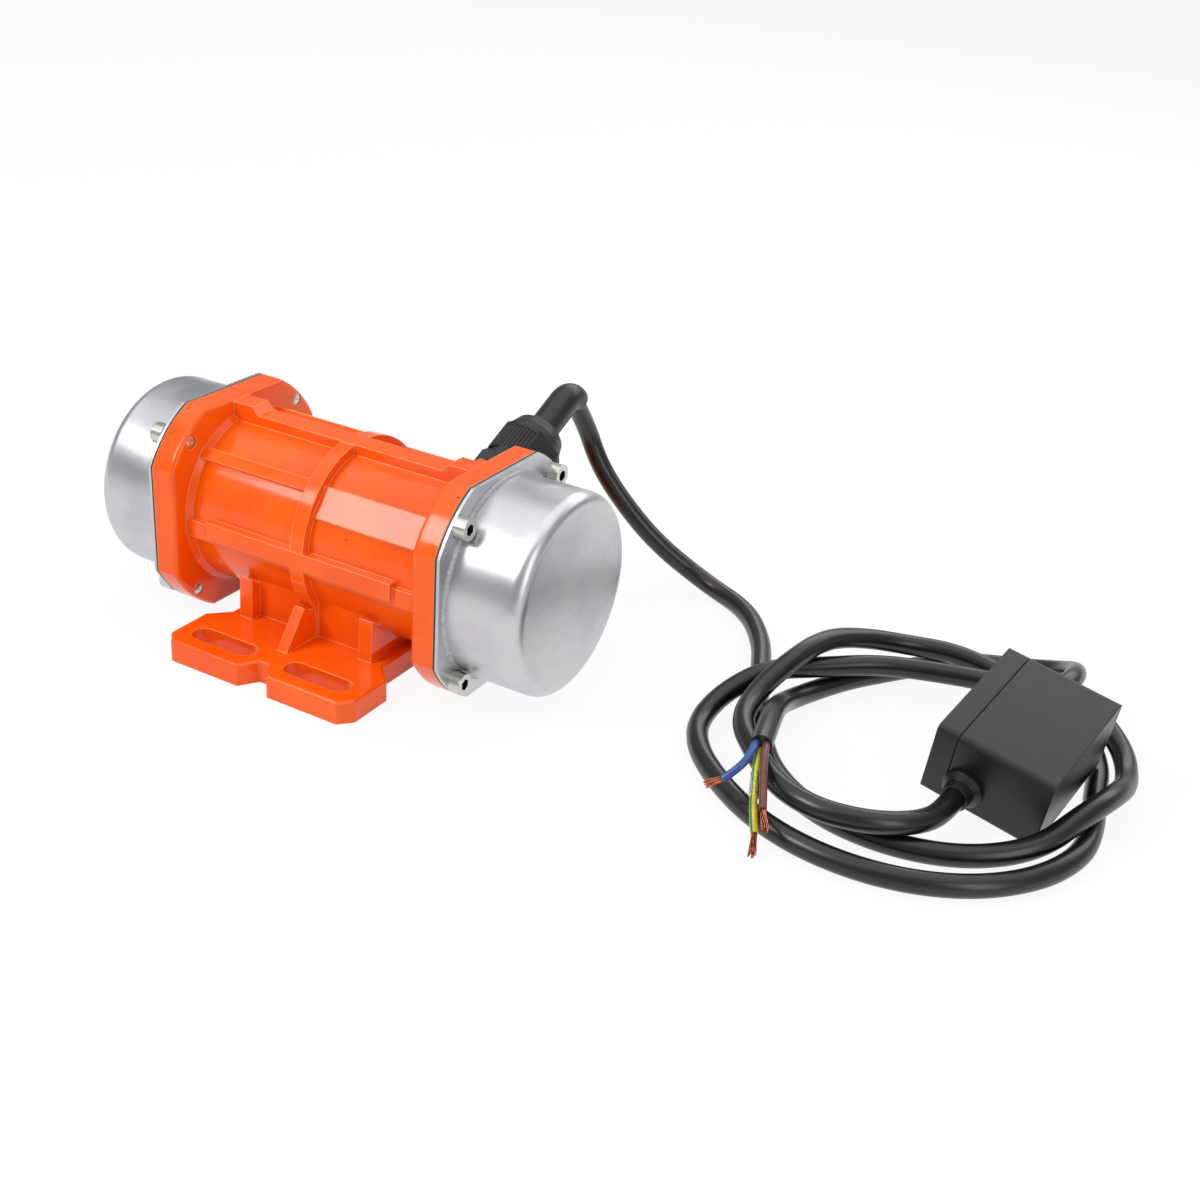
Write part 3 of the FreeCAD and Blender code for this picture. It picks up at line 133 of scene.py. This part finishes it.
def motor_lead_points():
    """The motor lead's control points, from the sleeve to the near grommet."""
    start = sleeve_end()
    finish = in_box_frame(GROMMET_IN_END)
    last = finish - BOX_TURN @ Vector((0, RUN_INTO_BOX, 0))
    return [start, start + LEAD_AIM * RUN_AT_SLEEVE] + metres(MOTOR_LEAD_ROUTE) + [last, finish]


def supply_lead_points():
    """The supply lead's control points, from the far grommet to the stripped end."""
    start = in_box_frame(GROMMET_OUT_END)
    return [start, start + BOX_TURN @ Vector((0, RUN_OUT_OF_BOX, 0))] + metres(SUPPLY_LEAD_ROUTE)


def core_points(name):
    """A core's route from the sheath's end face."""
    before, tip = supply_lead_points()[-2:]
    heading = (tip - before).normalized()
    side = heading.cross(Vector((0, 0, 1))).normalized()
    below = heading.cross(side)
    angle, bends = CORE_ROUTES[name]
    offset = side * math.cos(math.radians(angle)) + below * math.sin(math.radians(angle))
    start = tip + offset * CORE_OFFSET
    return [start, start + heading * RUN_OF_CORE] + metres(bends)


# ---------------------------------------------------------------- colours and nodes
def linear(red, green, blue):
    """A colour given as it looks on screen, 0 to 255, as linear RGBA."""
    def convert(value):
        value /= 255
        return value / 12.92 if value <= 0.04045 else ((value + 0.055) / 1.055) ** 2.4
    return (convert(red), convert(green), convert(blue), 1)


def lifted(colour, step):
    """A colour of 0 to 255 made lighter by a step, or darker where the step is below 0."""
    return tuple(min(255, value + step) for value in colour)


class Shader:
    """A material under construction: makes nodes and joins them."""

    def __init__(self, name):
        self.material = bpy.data.materials.new(name)
        self.material.use_nodes = True
        self.tree = self.material.node_tree
        self.surface = self.tree.nodes["Principled BSDF"]

    def node(self, kind, settings=None, **inputs):
        """A node of a kind; settings are its attributes, inputs its sockets by name."""
        made = self.tree.nodes.new("ShaderNode" + kind)
        for name, value in (settings or {}).items():
            setattr(made, name, value)
        for name, value in inputs.items():
            self.feed(made.inputs[name.replace("_", " ")], value)
        return made

    def feed(self, socket, value):
        """Sets a socket, or links it where the value is another node's output."""
        if isinstance(value, bpy.types.NodeSocket):
            self.tree.links.new(value, socket)
        else:
            socket.default_value = value

    def set(self, **inputs):
        """Sets or links the surface's own sockets by name."""
        for name, value in inputs.items():
            self.feed(self.surface.inputs[name.replace("_", " ")], value)

    def place(self, scale=(1, 1, 1)):
        """Object coordinates stretched by a scale."""
        coordinates = self.node("TexCoord")
        mapping = self.node("Mapping", Vector=coordinates.outputs["Object"])
        mapping.inputs["Scale"].default_value = scale
        return mapping.outputs["Vector"]

    def noise(self, scale, detail, stretch=(1, 1, 1), roughness=0.5):
        """Noise over the object, between 0 and 1."""
        made = self.node("TexNoise", Vector=self.place(stretch), Scale=scale, Detail=detail,
                         Roughness=roughness)
        return made.outputs["Fac"]

    def ramp(self, factor, stops):
        """A colour ramp: stops are (place, grey or colour)."""
        made = self.node("ValToRGB", Fac=factor)
        elements = made.color_ramp.elements
        while len(elements) < len(stops):
            elements.new(0.5)
        for element, (place, colour) in zip(elements, stops):
            element.position = place
            element.color = colour if isinstance(colour, tuple) else (colour, colour, colour, 1)
        return made.outputs["Color"]

    def mottled(self, scale, detail, low, high):
        """Two colours of 0 to 255, mixed softly by a noise."""
        return self.ramp(self.noise(scale, detail), [(0.3, linear(*low)), (0.7, linear(*high))])

    def spread(self, factor, low, high):
        """A share from 0 to 1 stretched to run from low to high."""
        return self.node("MapRange", Value=factor, To_Min=low, To_Max=high).outputs["Result"]

    def bump(self, height, strength, distance, under=None):
        """A relief, laid over another normal where one is given."""
        made = self.node("Bump", Height=height, Strength=strength, Distance=distance)
        if under is not None:
            self.feed(made.inputs["Normal"], under)
        return made.outputs["Normal"]

    def soft_edges(self, radius):
        """The normal of the surface with its edges rounded."""
        return self.node("Bevel", {"samples": 6}, Radius=radius).outputs["Normal"]

    def edge_share(self, radius, low=0.015, high=0.15):
        """From 0 on open faces to 1 along edges, where a rounded normal leaves the face's own; it masks the
        painted edge highlights.
        """
        plain = self.node("NewGeometry").outputs["Normal"]
        turned = self.node("VectorMath", {"operation": "DOT_PRODUCT"})
        self.feed(turned.inputs[0], plain)
        self.feed(turned.inputs[1], self.soft_edges(radius))
        away = self.node("Math", {"operation": "SUBTRACT"})
        away.inputs[0].default_value = 1.0
        self.feed(away.inputs[1], turned.outputs["Value"])
        share = self.node("MapRange", Value=away.outputs[0], From_Min=low, From_Max=high)
        return share.outputs["Result"]

    def blend(self, share, first, second):
        """Two colours mixed by a share: inputs 6 and 7 and output 2 are the Mix node's colours."""
        mixed = self.node("Mix", {"data_type": "RGBA"})
        self.feed(mixed.inputs[0], share)
        self.feed(mixed.inputs[6], first)
        self.feed(mixed.inputs[7], second)
        return mixed.outputs[2]


# ---------------------------------------------------------------- materials
def orange_paint():
    """Glossy enamel over a casting: soft orange peel, with a painted highlight that lightens the edges."""
    shader = Shader("orange_paint")
    tone = shader.mottled(38, 4, (236, 84, 6), (245, 98, 14))
    # Painted highlight: the colour turns pale orange along every edge, standing in for the light that the
    # edges catch.
    paint_edge_highlight = shader.blend(shader.edge_share(0.7 * MM), tone, linear(255, 164, 104))
    pits = shader.ramp(shader.noise(240, 1), [(0.165, 1.0), (0.185, 0.0)])
    specked = shader.blend(pits, paint_edge_highlight, linear(140, 40, 14))
    rounded = shader.soft_edges(0.8 * MM)
    cast = shader.bump(shader.noise(150, 3), 0.16, 0.5 * MM, rounded)
    peel = shader.bump(shader.noise(800, 1), 0.06, 0.06 * MM, cast)
    gloss = shader.ramp(shader.noise(120, 3), [(0.3, 0.11), (0.7, 0.2)])
    shader.set(Base_Color=specked, Roughness=gloss, Normal=peel)
    shader.set(Coat_Weight=0.12, Coat_Roughness=0.06, Specular_IOR_Level=0.3)
    return shader.material


def brushed_steel(name, tone, roughness, stretch, strength):
    """Stainless sheet with fine lines along one way and faint clouding."""
    shader = Shader(name)
    lines = shader.noise(26, 3, stretch, 0.65)
    lined = shader.ramp(lines, [(0.25, linear(*lifted(tone, -10))), (0.75, linear(*lifted(tone, 6)))])
    patches = shader.ramp(shader.noise(55, 4), [(0.42, 0.0), (0.62, 1.0)])
    red, green, blue = tone
    clouded = shader.blend(patches, lined, linear(red - 14, green - 13, blue - 10))
    rough = shader.spread(shader.noise(24, 3), roughness - 0.05, roughness + 0.09)
    relief = shader.bump(lines, strength, 0.03 * MM, shader.soft_edges(0.25 * MM))
    shader.set(Base_Color=clouded, Metallic=1.0, Roughness=rough, Normal=relief)
    shader.set(Anisotropic=0.35)
    return shader.material


def bright_steel(name, tone, roughness, edge):
    """Turned or plated steel of the screws and inner pieces."""
    shader = Shader(name)
    fine = shader.noise(520, 3)
    colour = shader.ramp(fine, [(0.3, linear(*lifted(tone, -14))), (0.7, linear(*tone))])
    relief = shader.bump(fine, 0.08, 0.03 * MM, shader.soft_edges(edge))
    rough = shader.spread(shader.noise(260, 2), roughness - 0.04, roughness + 0.08)
    shader.set(Base_Color=colour, Metallic=1.0, Roughness=rough, Normal=relief)
    return shader.material


def moulded(name, low, high, roughness, grain, grain_depth, edge=0.3 * MM, coat=0.0):
    """Rubber, nylon or other moulded surface: fine grain, specks of dust and paler edges painted as a
    highlight.
    """
    shader = Shader(name)
    base = shader.mottled(160, 3, low, high)
    # Painted highlight: the colour turns paler along every edge, standing in for the light that the edges
    # catch.
    moulded_edge_highlight = shader.blend(shader.edge_share(edge), base, linear(*lifted(high, 22)))
    dust = shader.ramp(shader.noise(1100, 1), [(0.80, 0.0), (0.84, 1.0)])
    dusty = shader.blend(dust, moulded_edge_highlight, linear(*lifted(high, 70)))
    relief = shader.bump(shader.noise(grain, 2), 0.25, grain_depth, shader.soft_edges(edge))
    rough = shader.spread(shader.noise(70, 4), roughness - 0.08, roughness + 0.10)
    shader.set(Base_Color=dusty, Roughness=rough, Normal=relief)
    shader.set(Coat_Weight=coat, Coat_Roughness=0.22)
    return shader.material


def insulation(name, colour):
    """Glossy core insulation with slight mottling."""
    shader = Shader(name)
    tone = shader.mottled(420, 2, [value * 0.82 for value in colour], colour)
    relief = shader.bump(shader.noise(600, 2), 0.15, 0.05 * MM)
    shader.set(Base_Color=tone, Roughness=0.34, Normal=relief)
    shader.set(Coat_Weight=0.25, Coat_Roughness=0.2)
    return shader.material


def weld_seam():
    """The rough, pale seam between a cover's cup and its plate."""
    shader = Shader("weld_seam")
    grit = shader.noise(900, 4, roughness=0.7)
    tone = shader.ramp(grit, [(0.3, linear(150, 149, 149)), (0.6, linear(186, 185, 185)),
                              (0.78, linear(222, 221, 220))])
    scales = shader.bump(shader.noise(420, 3), 0.4, 0.3 * MM)
    relief = shader.bump(grit, 0.5, 0.2 * MM, scales)
    shader.set(Base_Color=tone, Metallic=0.75, Roughness=0.5, Normal=relief)
    return shader.material


def socket_shade():
    """Painted shade for the inside of a driven socket, with faint tool marks."""
    shader = Shader("socket_shade")
    # Painted shade: a near-black tone standing in for the shade inside the sockets.
    tone = shader.mottled(900, 2, (18, 18, 20), (46, 45, 46))
    shader.set(Base_Color=tone, Metallic=0.6, Roughness=0.5)
    return shader.material


def bare_copper():
    """The cores' fine wires."""
    shader = Shader("bare_copper")
    tone = shader.mottled(700, 2, (150, 78, 52), (226, 142, 106))
    shader.set(Base_Color=tone, Metallic=1.0, Roughness=0.36)
    return shader.material


def clear_sleeve():
    """Thin clear tubing."""
    shader = Shader("clear_tubing")
    haze = shader.spread(shader.noise(300, 2), 0.06, 0.16)
    shader.set(Base_Color=linear(238, 246, 242), Roughness=haze)
    shader.set(Transmission_Weight=1.0, IOR=1.3)
    return shader.material


MATERIALS = {
    "cast_paint": orange_paint(),
    "cover_steel": brushed_steel("cover_steel", (208, 208, 211), 0.33, (90, 3, 90), 0.08),
    "badge_metal": brushed_steel("badge_metal", (205, 206, 208), 0.34, (3, 80, 80), 0.08),
    "screw_steel": bright_steel("screw_steel", (214, 213, 208), 0.24, 0.3 * MM),
    "machined_steel": bright_steel("machined_steel", (160, 160, 160), 0.3, 0.2 * MM),
    "core_steel": bright_steel("core_steel", (104, 104, 108), 0.5, 0.2 * MM),
    "rotor_aluminium": bright_steel("rotor_aluminium", (190, 190, 192), 0.42, 0.3 * MM),
    "shield_aluminium": bright_steel("shield_aluminium", (186, 187, 190), 0.4, 0.3 * MM),
    "winding_copper": bright_steel("winding_copper", (158, 92, 58), 0.4, 0.4 * MM),
    "copper": bare_copper(),
    "gasket_rubber": moulded("gasket_rubber", (10, 44, 36), (18, 60, 50), 0.5, 800, 0.05 * MM),
    "black_rubber": moulded("black_rubber", (12, 12, 15), (20, 20, 24), 0.36, 1400, 0.05 * MM, coat=0.1),
    "black_plastic": moulded("black_plastic", (22, 22, 26), (32, 32, 37), 0.38, 1300, 0.05 * MM),
    "cable_sheath": moulded("cable_sheath", (8, 8, 10), (14, 14, 17), 0.32, 900, 0.05 * MM, coat=0.2),
    "box_plastic": moulded("box_plastic", (10, 10, 14), (17, 17, 23), 0.36, 1800, 0.06 * MM, 0.8 * MM),
    "capacitor_shell": moulded("capacitor_shell", (214, 214, 208), (226, 226, 220), 0.4, 700, 0.03 * MM),
    "terminal_plastic": moulded("terminal_plastic", (206, 206, 196), (220, 220, 210), 0.5, 700, 0.03 * MM),
    "blue_core": insulation("blue_core", (44, 84, 156)),
    "brown_core": insulation("brown_core", (112, 60, 44)),
    "earth_core": insulation("earth_yellow", (232, 208, 40)),
}
EARTH_GREEN = insulation("earth_green", (40, 140, 70))
CLEAR_TUBING = clear_sleeve()
WELD_SEAM = weld_seam()
# The material of the painted shade inside the screw sockets.
SOCKET_SHADE = socket_shade()


def dress_nodes():
    """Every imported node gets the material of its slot."""
    slots = {row["node"]: row["material_slot"] for row in frame["record"]["subparts"]}
    for name, node in frame["nodes"].items():
        node.data.materials.clear()
        welded = name.startswith("weld_bead")
        node.data.materials.append(WELD_SEAM if welded else MATERIALS[slots[name]])


# ---------------------------------------------------------------- pieces
CORE_SIDES = 16

# The earth core's green stripes: which of every so many sides are green.
STRIPE_SIDES = (1, 2)
STRIPE_PERIOD = 8

# The copper wires of a core: how many, how thick, how far in they start, and how they turn and twist.
STRANDS_PER_CORE = 26
STRAND_RADIUS = 0.16 * MM
STRAND_ROOT = 0.6 * MM
STRAND_STEPS = 6
STRAND_TURN = 2.4
STRAND_TWIST = 0.9
BUNDLE_RADIUS = 0.95 * MM

# The clear sleeve: its share of the earth core's line, its radius and the ripple along it.
CLEAR_SPAN = (0.42, 0.74)
CLEAR_RADIUS = 1.72 * MM
CLEAR_RIPPLE = 0.05 * MM

# The cover screws, and the dark liner that paints the shade inside their sockets: its gap to the flats,
# its wall, how far it starts below the head's face and how far it ends above the socket's floor.
SCREW_HEAD_RADIUS = 4.25 * MM
SOCKET_FLATS = 4.0 * MM
SOCKET_DEPTH = 2.6 * MM
LINER_GAP = 0.03 * MM
LINER_WALL = 0.12 * MM
LINER_TOP = 0.35 * MM
LINER_LIFT = 0.05 * MM

# The screws' ends: distance past the shank's end and radius, in mm.
SCREW_TIP = [(0.02, 2.42), (0.16, 2.42), (0.16, 2.1), (0.30, 1.9), (0.44, 1.5), (0.44, 0.5), (0.2, 0.2)]


def route_curve(name, points, diameter):
    """A round lead: one smooth NURBS line with the route's points as control points."""
    data = bpy.data.curves.new(name, "CURVE")
    data.dimensions = "3D"
    data.bevel_depth = diameter / 2
    data.bevel_resolution = 7
    data.resolution_u = 12
    data.use_fill_caps = True
    spline = data.splines.new("NURBS")
    spline.points.add(len(points) - 1)
    for control, place in zip(spline.points, points):
        control.co = (*place, 1)
    spline.order_u = 3
    spline.use_endpoint_u = True
    lead = bpy.data.objects.new(name, data)
    bpy.context.scene.collection.objects.link(lead)
    return lead


def smooth_line(points):
    """The points of a route's own NURBS line."""
    lead = route_curve("line_under_work", points, 0)
    lead.data.bevel_depth = 0
    lead.data.use_fill_caps = False
    mesh = bpy.data.meshes.new_from_object(lead)
    line = [vertex.co.copy() for vertex in mesh.vertices]
    bpy.data.meshes.remove(mesh)
    bpy.data.objects.remove(lead)
    return line


def finish_piece(name, build, material, smooth_below):
    """A built form as a piece on the motor, shaded smooth below an edge angle in degrees."""
    mesh = bpy.data.meshes.new(name)
    build.to_mesh(mesh)
    build.free()
    piece = bpy.data.objects.new(name, mesh)
    bpy.context.scene.collection.objects.link(piece)
    mesh.materials.append(material)
    mesh.shade_smooth()
    mesh.set_sharp_from_angle(angle=math.radians(smooth_below))
    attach(piece, "motor")
    return piece


def tube_rings(build, line, radius_at, sides):
    """A closed tube along a line. Returns its long faces, each with its place around the tube."""
    up = Vector((0, 0, 1))
    rings = []
    for index, place in enumerate(line):
        ahead = line[min(index + 1, len(line) - 1)] - line[max(index - 1, 0)]
        ahead.normalize()
        across = ahead.cross(up)
        across.normalize()
        up = across.cross(ahead)
        radius = radius_at(index / (len(line) - 1))
        turns = [2 * math.pi * step / sides for step in range(sides)]
        ring = [build.verts.new(place + (across * math.cos(turn) + up * math.sin(turn)) * radius)
                for turn in turns]
        rings.append(ring)
    faces = []
    for first, second in zip(rings, rings[1:]):
        for step in range(sides):
            following = (step + 1) % sides
            corners = (first[step], first[following], second[following], second[step])
            faces.append((step, build.faces.new(corners)))
    build.faces.new(list(reversed(rings[0])))
    build.faces.new(rings[-1])
    return faces


def core_piece(name):
    """A core's insulation, striped in two colours along its length on the earth core."""
    build = bmesh.new()
    faces = tube_rings(build, smooth_line(core_points(name)), lambda share: CORE_DIAMETER / 2, CORE_SIDES)
    if name == "core_earth":
        for step, face in faces:
            if step % STRIPE_PERIOD in STRIPE_SIDES:
                face.material_index = 1
    colour_slot = name.replace("core_", "") + "_core"
    piece = finish_piece(name + "_insulation", build, MATERIALS[colour_slot], 60)
    if name == "core_earth":
        piece.data.materials.append(EARTH_GREEN)
    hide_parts(name)
    return piece


def copper_strands():
    """Fine wires that spread from each core's end, inside the cone that the frame holds."""
    shuffle = random.Random(7)
    build = bmesh.new()
    for name, tip in COPPER_TIPS.items():
        start = core_points(name)[-1]
        reach = Vector(tip) * MM - start
        ahead = reach.normalized()
        across = ahead.cross(Vector((0, 0, 1))).normalized()
        above = across.cross(ahead)
        root = start - ahead * STRAND_ROOT
        for number in range(STRANDS_PER_CORE):
            angle = number * STRAND_TURN + shuffle.uniform(-0.2, 0.2)
            near = BUNDLE_RADIUS * math.sqrt((number + 0.5) / STRANDS_PER_CORE)
            far = near * shuffle.uniform(1.2, 2.1)
            length = reach.length * shuffle.uniform(0.8, 1.0) + STRAND_ROOT
            line = []
            for step in range(STRAND_STEPS + 1):
                share = step / STRAND_STEPS
                spread = near + (far - near) * share ** 1.6
                turn = angle + STRAND_TWIST * share
                offset = across * math.cos(turn) + above * math.sin(turn)
                line.append(root + ahead * length * share + offset * spread)
            tube_rings(build, line, lambda share: STRAND_RADIUS, 5)
    piece = finish_piece("copper_strands", build, MATERIALS["copper"], 70)
    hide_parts("copper_ends")
    return piece


def screw_spots(node):
    """Where the four cover screws of one side are, in Y and Z."""
    low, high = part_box(node)
    return [(y, z) for y in (low.y + SCREW_HEAD_RADIUS, high.y - SCREW_HEAD_RADIUS)
            for z in (low.z + SCREW_HEAD_RADIUS, high.z - SCREW_HEAD_RADIUS)]


def stacked_rings(build, spot, profile, sides):
    """A form turned about an X line through a spot in Y and Z. The profile is (x, radius) pairs."""
    y, z = spot
    angles = [2 * math.pi * step / sides for step in range(sides)]
    rings = [[build.verts.new((x, y + radius * math.cos(angle), z + radius * math.sin(angle)))
              for angle in angles] for x, radius in profile]
    for first, second in zip(rings, rings[1:]):
        for step in range(sides):
            following = (step + 1) % sides
            build.faces.new((first[step], first[following], second[following], second[step]))
    build.faces.new(list(reversed(rings[0])))
    build.faces.new(rings[-1])


def turned_piece(name, spots, profile, material, sides=24):
    """The same turned form at each spot, as one piece of the screws."""
    build = bmesh.new()
    for spot in spots:
        stacked_rings(build, spot, profile, sides)
    bmesh.ops.recalc_face_normals(build, faces=build.faces)
    finish_piece(name, build, material, 30)


def make_screw_details():
    """Dark hexagonal cups of painted shade inside the cover screws' sockets, and the pointed ends of their
    shanks.
    """
    corner = (SOCKET_FLATS / 2 - LINER_GAP) / math.cos(math.pi / 6)
    for side, sign in (("left", -1), ("right", 1)):
        node = "cover_screws_" + side
        low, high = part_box(node)
        face = high.x if sign > 0 else low.x
        floor = face - sign * (SOCKET_DEPTH - LINER_LIFT)
        rim = face - sign * LINER_TOP
        cup = [(floor, corner), (rim, corner), (rim, corner - LINER_WALL),
               (floor + sign * 0.4 * MM, corner - 0.25 * MM), (floor + sign * 0.1 * MM, 0.3 * MM)]
        # Painted shade: dark hexagonal cups set just inside each socket stand in for the shade there.
        turned_piece("screw_socket_shade_" + side, screw_spots(node), cup, SOCKET_SHADE, 6)
        end = low.x if sign > 0 else high.x
        tip = [(end - sign * along * MM, radius * MM) for along, radius in SCREW_TIP]
        turned_piece("screw_ends_" + side, screw_spots(node), tip, MATERIALS["screw_steel"])


def clear_tube():
    """A short clear sleeve over the middle of the earth core."""
    line = smooth_line(core_points("core_earth"))
    first, last = (int(len(line) * share) for share in CLEAR_SPAN)
    build = bmesh.new()
    tube_rings(build, line[first:last], lambda share: CLEAR_RADIUS + CLEAR_RIPPLE * math.sin(9 * share), 20)
    return finish_piece("earth_clear_sleeve", build, CLEAR_TUBING, 60)


def make_leads():
    """Both leads, with what is on them."""
    motor_lead = route_curve("motor_lead_sheath", motor_lead_points(), LEAD_DIAMETER)
    supply_lead = route_curve("supply_lead_sheath", supply_lead_points(), LEAD_DIAMETER)
    for lead, node in ((motor_lead, "motor_lead"), (supply_lead, "supply_lead")):
        lead.data.materials.append(MATERIALS["cable_sheath"])
        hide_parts(node)
        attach(lead, "motor")
    cores = [core_piece(name) for name in CORE_ROUTES]
    copper = copper_strands()
    cores.append(clear_tube())


# ---------------------------------------------------------------- studio
# The floor's reach each way, how much of its own white it shows, and the world's light on the object.
FLOOR_REACH = 6.0
FLOOR_GLOW = 0.91
WORLD_LIGHT = 0.40

# The lamps all face one point: name, place, width, height and power in watts.
LAMP_TARGET = (0.1, 0.0, 0.03)
LAMPS = [
    ("overhead", (0.0, 0.1, 1.4), 2.4, 1.8, 13.5),
    ("front_left", (-0.62, -0.88, 1.0), 0.5, 0.5, 9),
    ("right", (1.3, -0.6, 0.7), 0.5, 1.1, 5),
    ("behind", (0.2, 1.4, 0.9), 1.8, 0.5, 7)]


def make_camera():
    """The camera at the photograph's place, turned about its own line of sight by the roll."""
    azimuth, elevation, roll = CAMERA_AZIMUTH, CAMERA_ELEVATION, CAMERA_ROLL
    back = Vector((math.sin(azimuth) * math.cos(elevation), -math.cos(azimuth) * math.cos(elevation),
                   math.sin(elevation)))
    level = Vector((math.cos(azimuth), math.sin(azimuth), 0))
    upright = back.cross(level)
    right = level * math.cos(roll) + upright * math.sin(roll)
    above = upright * math.cos(roll) - level * math.sin(roll)
    camera = bpy.data.objects.new("camera", bpy.data.cameras.new("camera"))
    camera.data.lens = CAMERA_LENS
    camera.data.sensor_width = CAMERA_SENSOR
    camera.data.clip_start = 0.01
    turn = Matrix((right, above, back)).transposed().to_4x4()
    camera.matrix_world = Matrix.Translation(CAMERA_PLACE) @ turn
    bpy.context.scene.collection.objects.link(camera)
    bpy.context.scene.camera = camera


def add_lamp(name, place, width, height, power):
    """A rectangular lamp that faces the object."""
    lamp = bpy.data.lights.new(name, "AREA")
    lamp.shape = "RECTANGLE"
    lamp.size = width
    lamp.size_y = height
    lamp.energy = power
    holder = bpy.data.objects.new(name, lamp)
    holder.location = place
    aim = Vector(LAMP_TARGET) - Vector(place)
    holder.rotation_euler = aim.to_track_quat("-Z", "Y").to_euler()
    bpy.context.scene.collection.objects.link(holder)


def make_floor():
    """A pale floor that the camera and reflections see as near white, with the object's shadow."""
    mesh = bpy.data.meshes.new("floor")
    corners = [(x * FLOOR_REACH, y * FLOOR_REACH, 0) for x, y in ((-1, -1), (1, -1), (1, 1), (-1, 1))]
    mesh.from_pydata(corners, [], [(0, 1, 2, 3)])
    floor = bpy.data.objects.new("floor", mesh)
    bpy.context.scene.collection.objects.link(floor)
    shader = Shader("floor_paper")
    shader.set(Base_Color=(0.9, 0.9, 0.9, 1), Roughness=0.9, Specular_IOR_Level=0.1)
    glow = shader.node("Emission", Color=(1, 1, 1, 1))
    path = shader.node("LightPath")
    seen = shader.node("Math", {"operation": "MAXIMUM"})
    shader.feed(seen.inputs[0], path.outputs["Is Camera Ray"])
    shader.feed(seen.inputs[1], path.outputs["Is Glossy Ray"])
    share = shader.node("Math", {"operation": "MULTIPLY"})
    shader.feed(share.inputs[0], seen.outputs[0])
    shader.feed(share.inputs[1], FLOOR_GLOW)
    mix = shader.node("MixShader")
    shader.feed(mix.inputs[0], share.outputs[0])
    shader.feed(mix.inputs[1], shader.surface.outputs[0])
    shader.feed(mix.inputs[2], glow.outputs[0])
    shader.feed(shader.tree.nodes["Material Output"].inputs["Surface"], mix.outputs[0])
    mesh.materials.append(shader.material)


def make_world():
    """White to the camera, plain grey light to the object."""
    world = bpy.data.worlds.new("studio")
    bpy.context.scene.world = world
    world.use_nodes = True
    tree = world.node_tree
    background = tree.nodes["Background"]
    background.inputs["Color"].default_value = (1, 1, 1, 1)
    path = tree.nodes.new("ShaderNodeLightPath")
    strength = tree.nodes.new("ShaderNodeMapRange")
    strength.inputs["To Min"].default_value = WORLD_LIGHT
    strength.inputs["To Max"].default_value = 1.0
    tree.links.new(path.outputs["Is Camera Ray"], strength.inputs["Value"])
    tree.links.new(strength.outputs["Result"], background.inputs["Strength"])


def make_studio():
    """Floor, world and lamps."""
    make_floor()
    make_world()
    for lamp in LAMPS:
        add_lamp(*lamp)


# ---------------------------------------------------------------- scene
make_camera()
make_leads()
dress_nodes()
make_screw_details()
make_studio()
bpy.context.scene.view_settings.view_transform = "Standard"
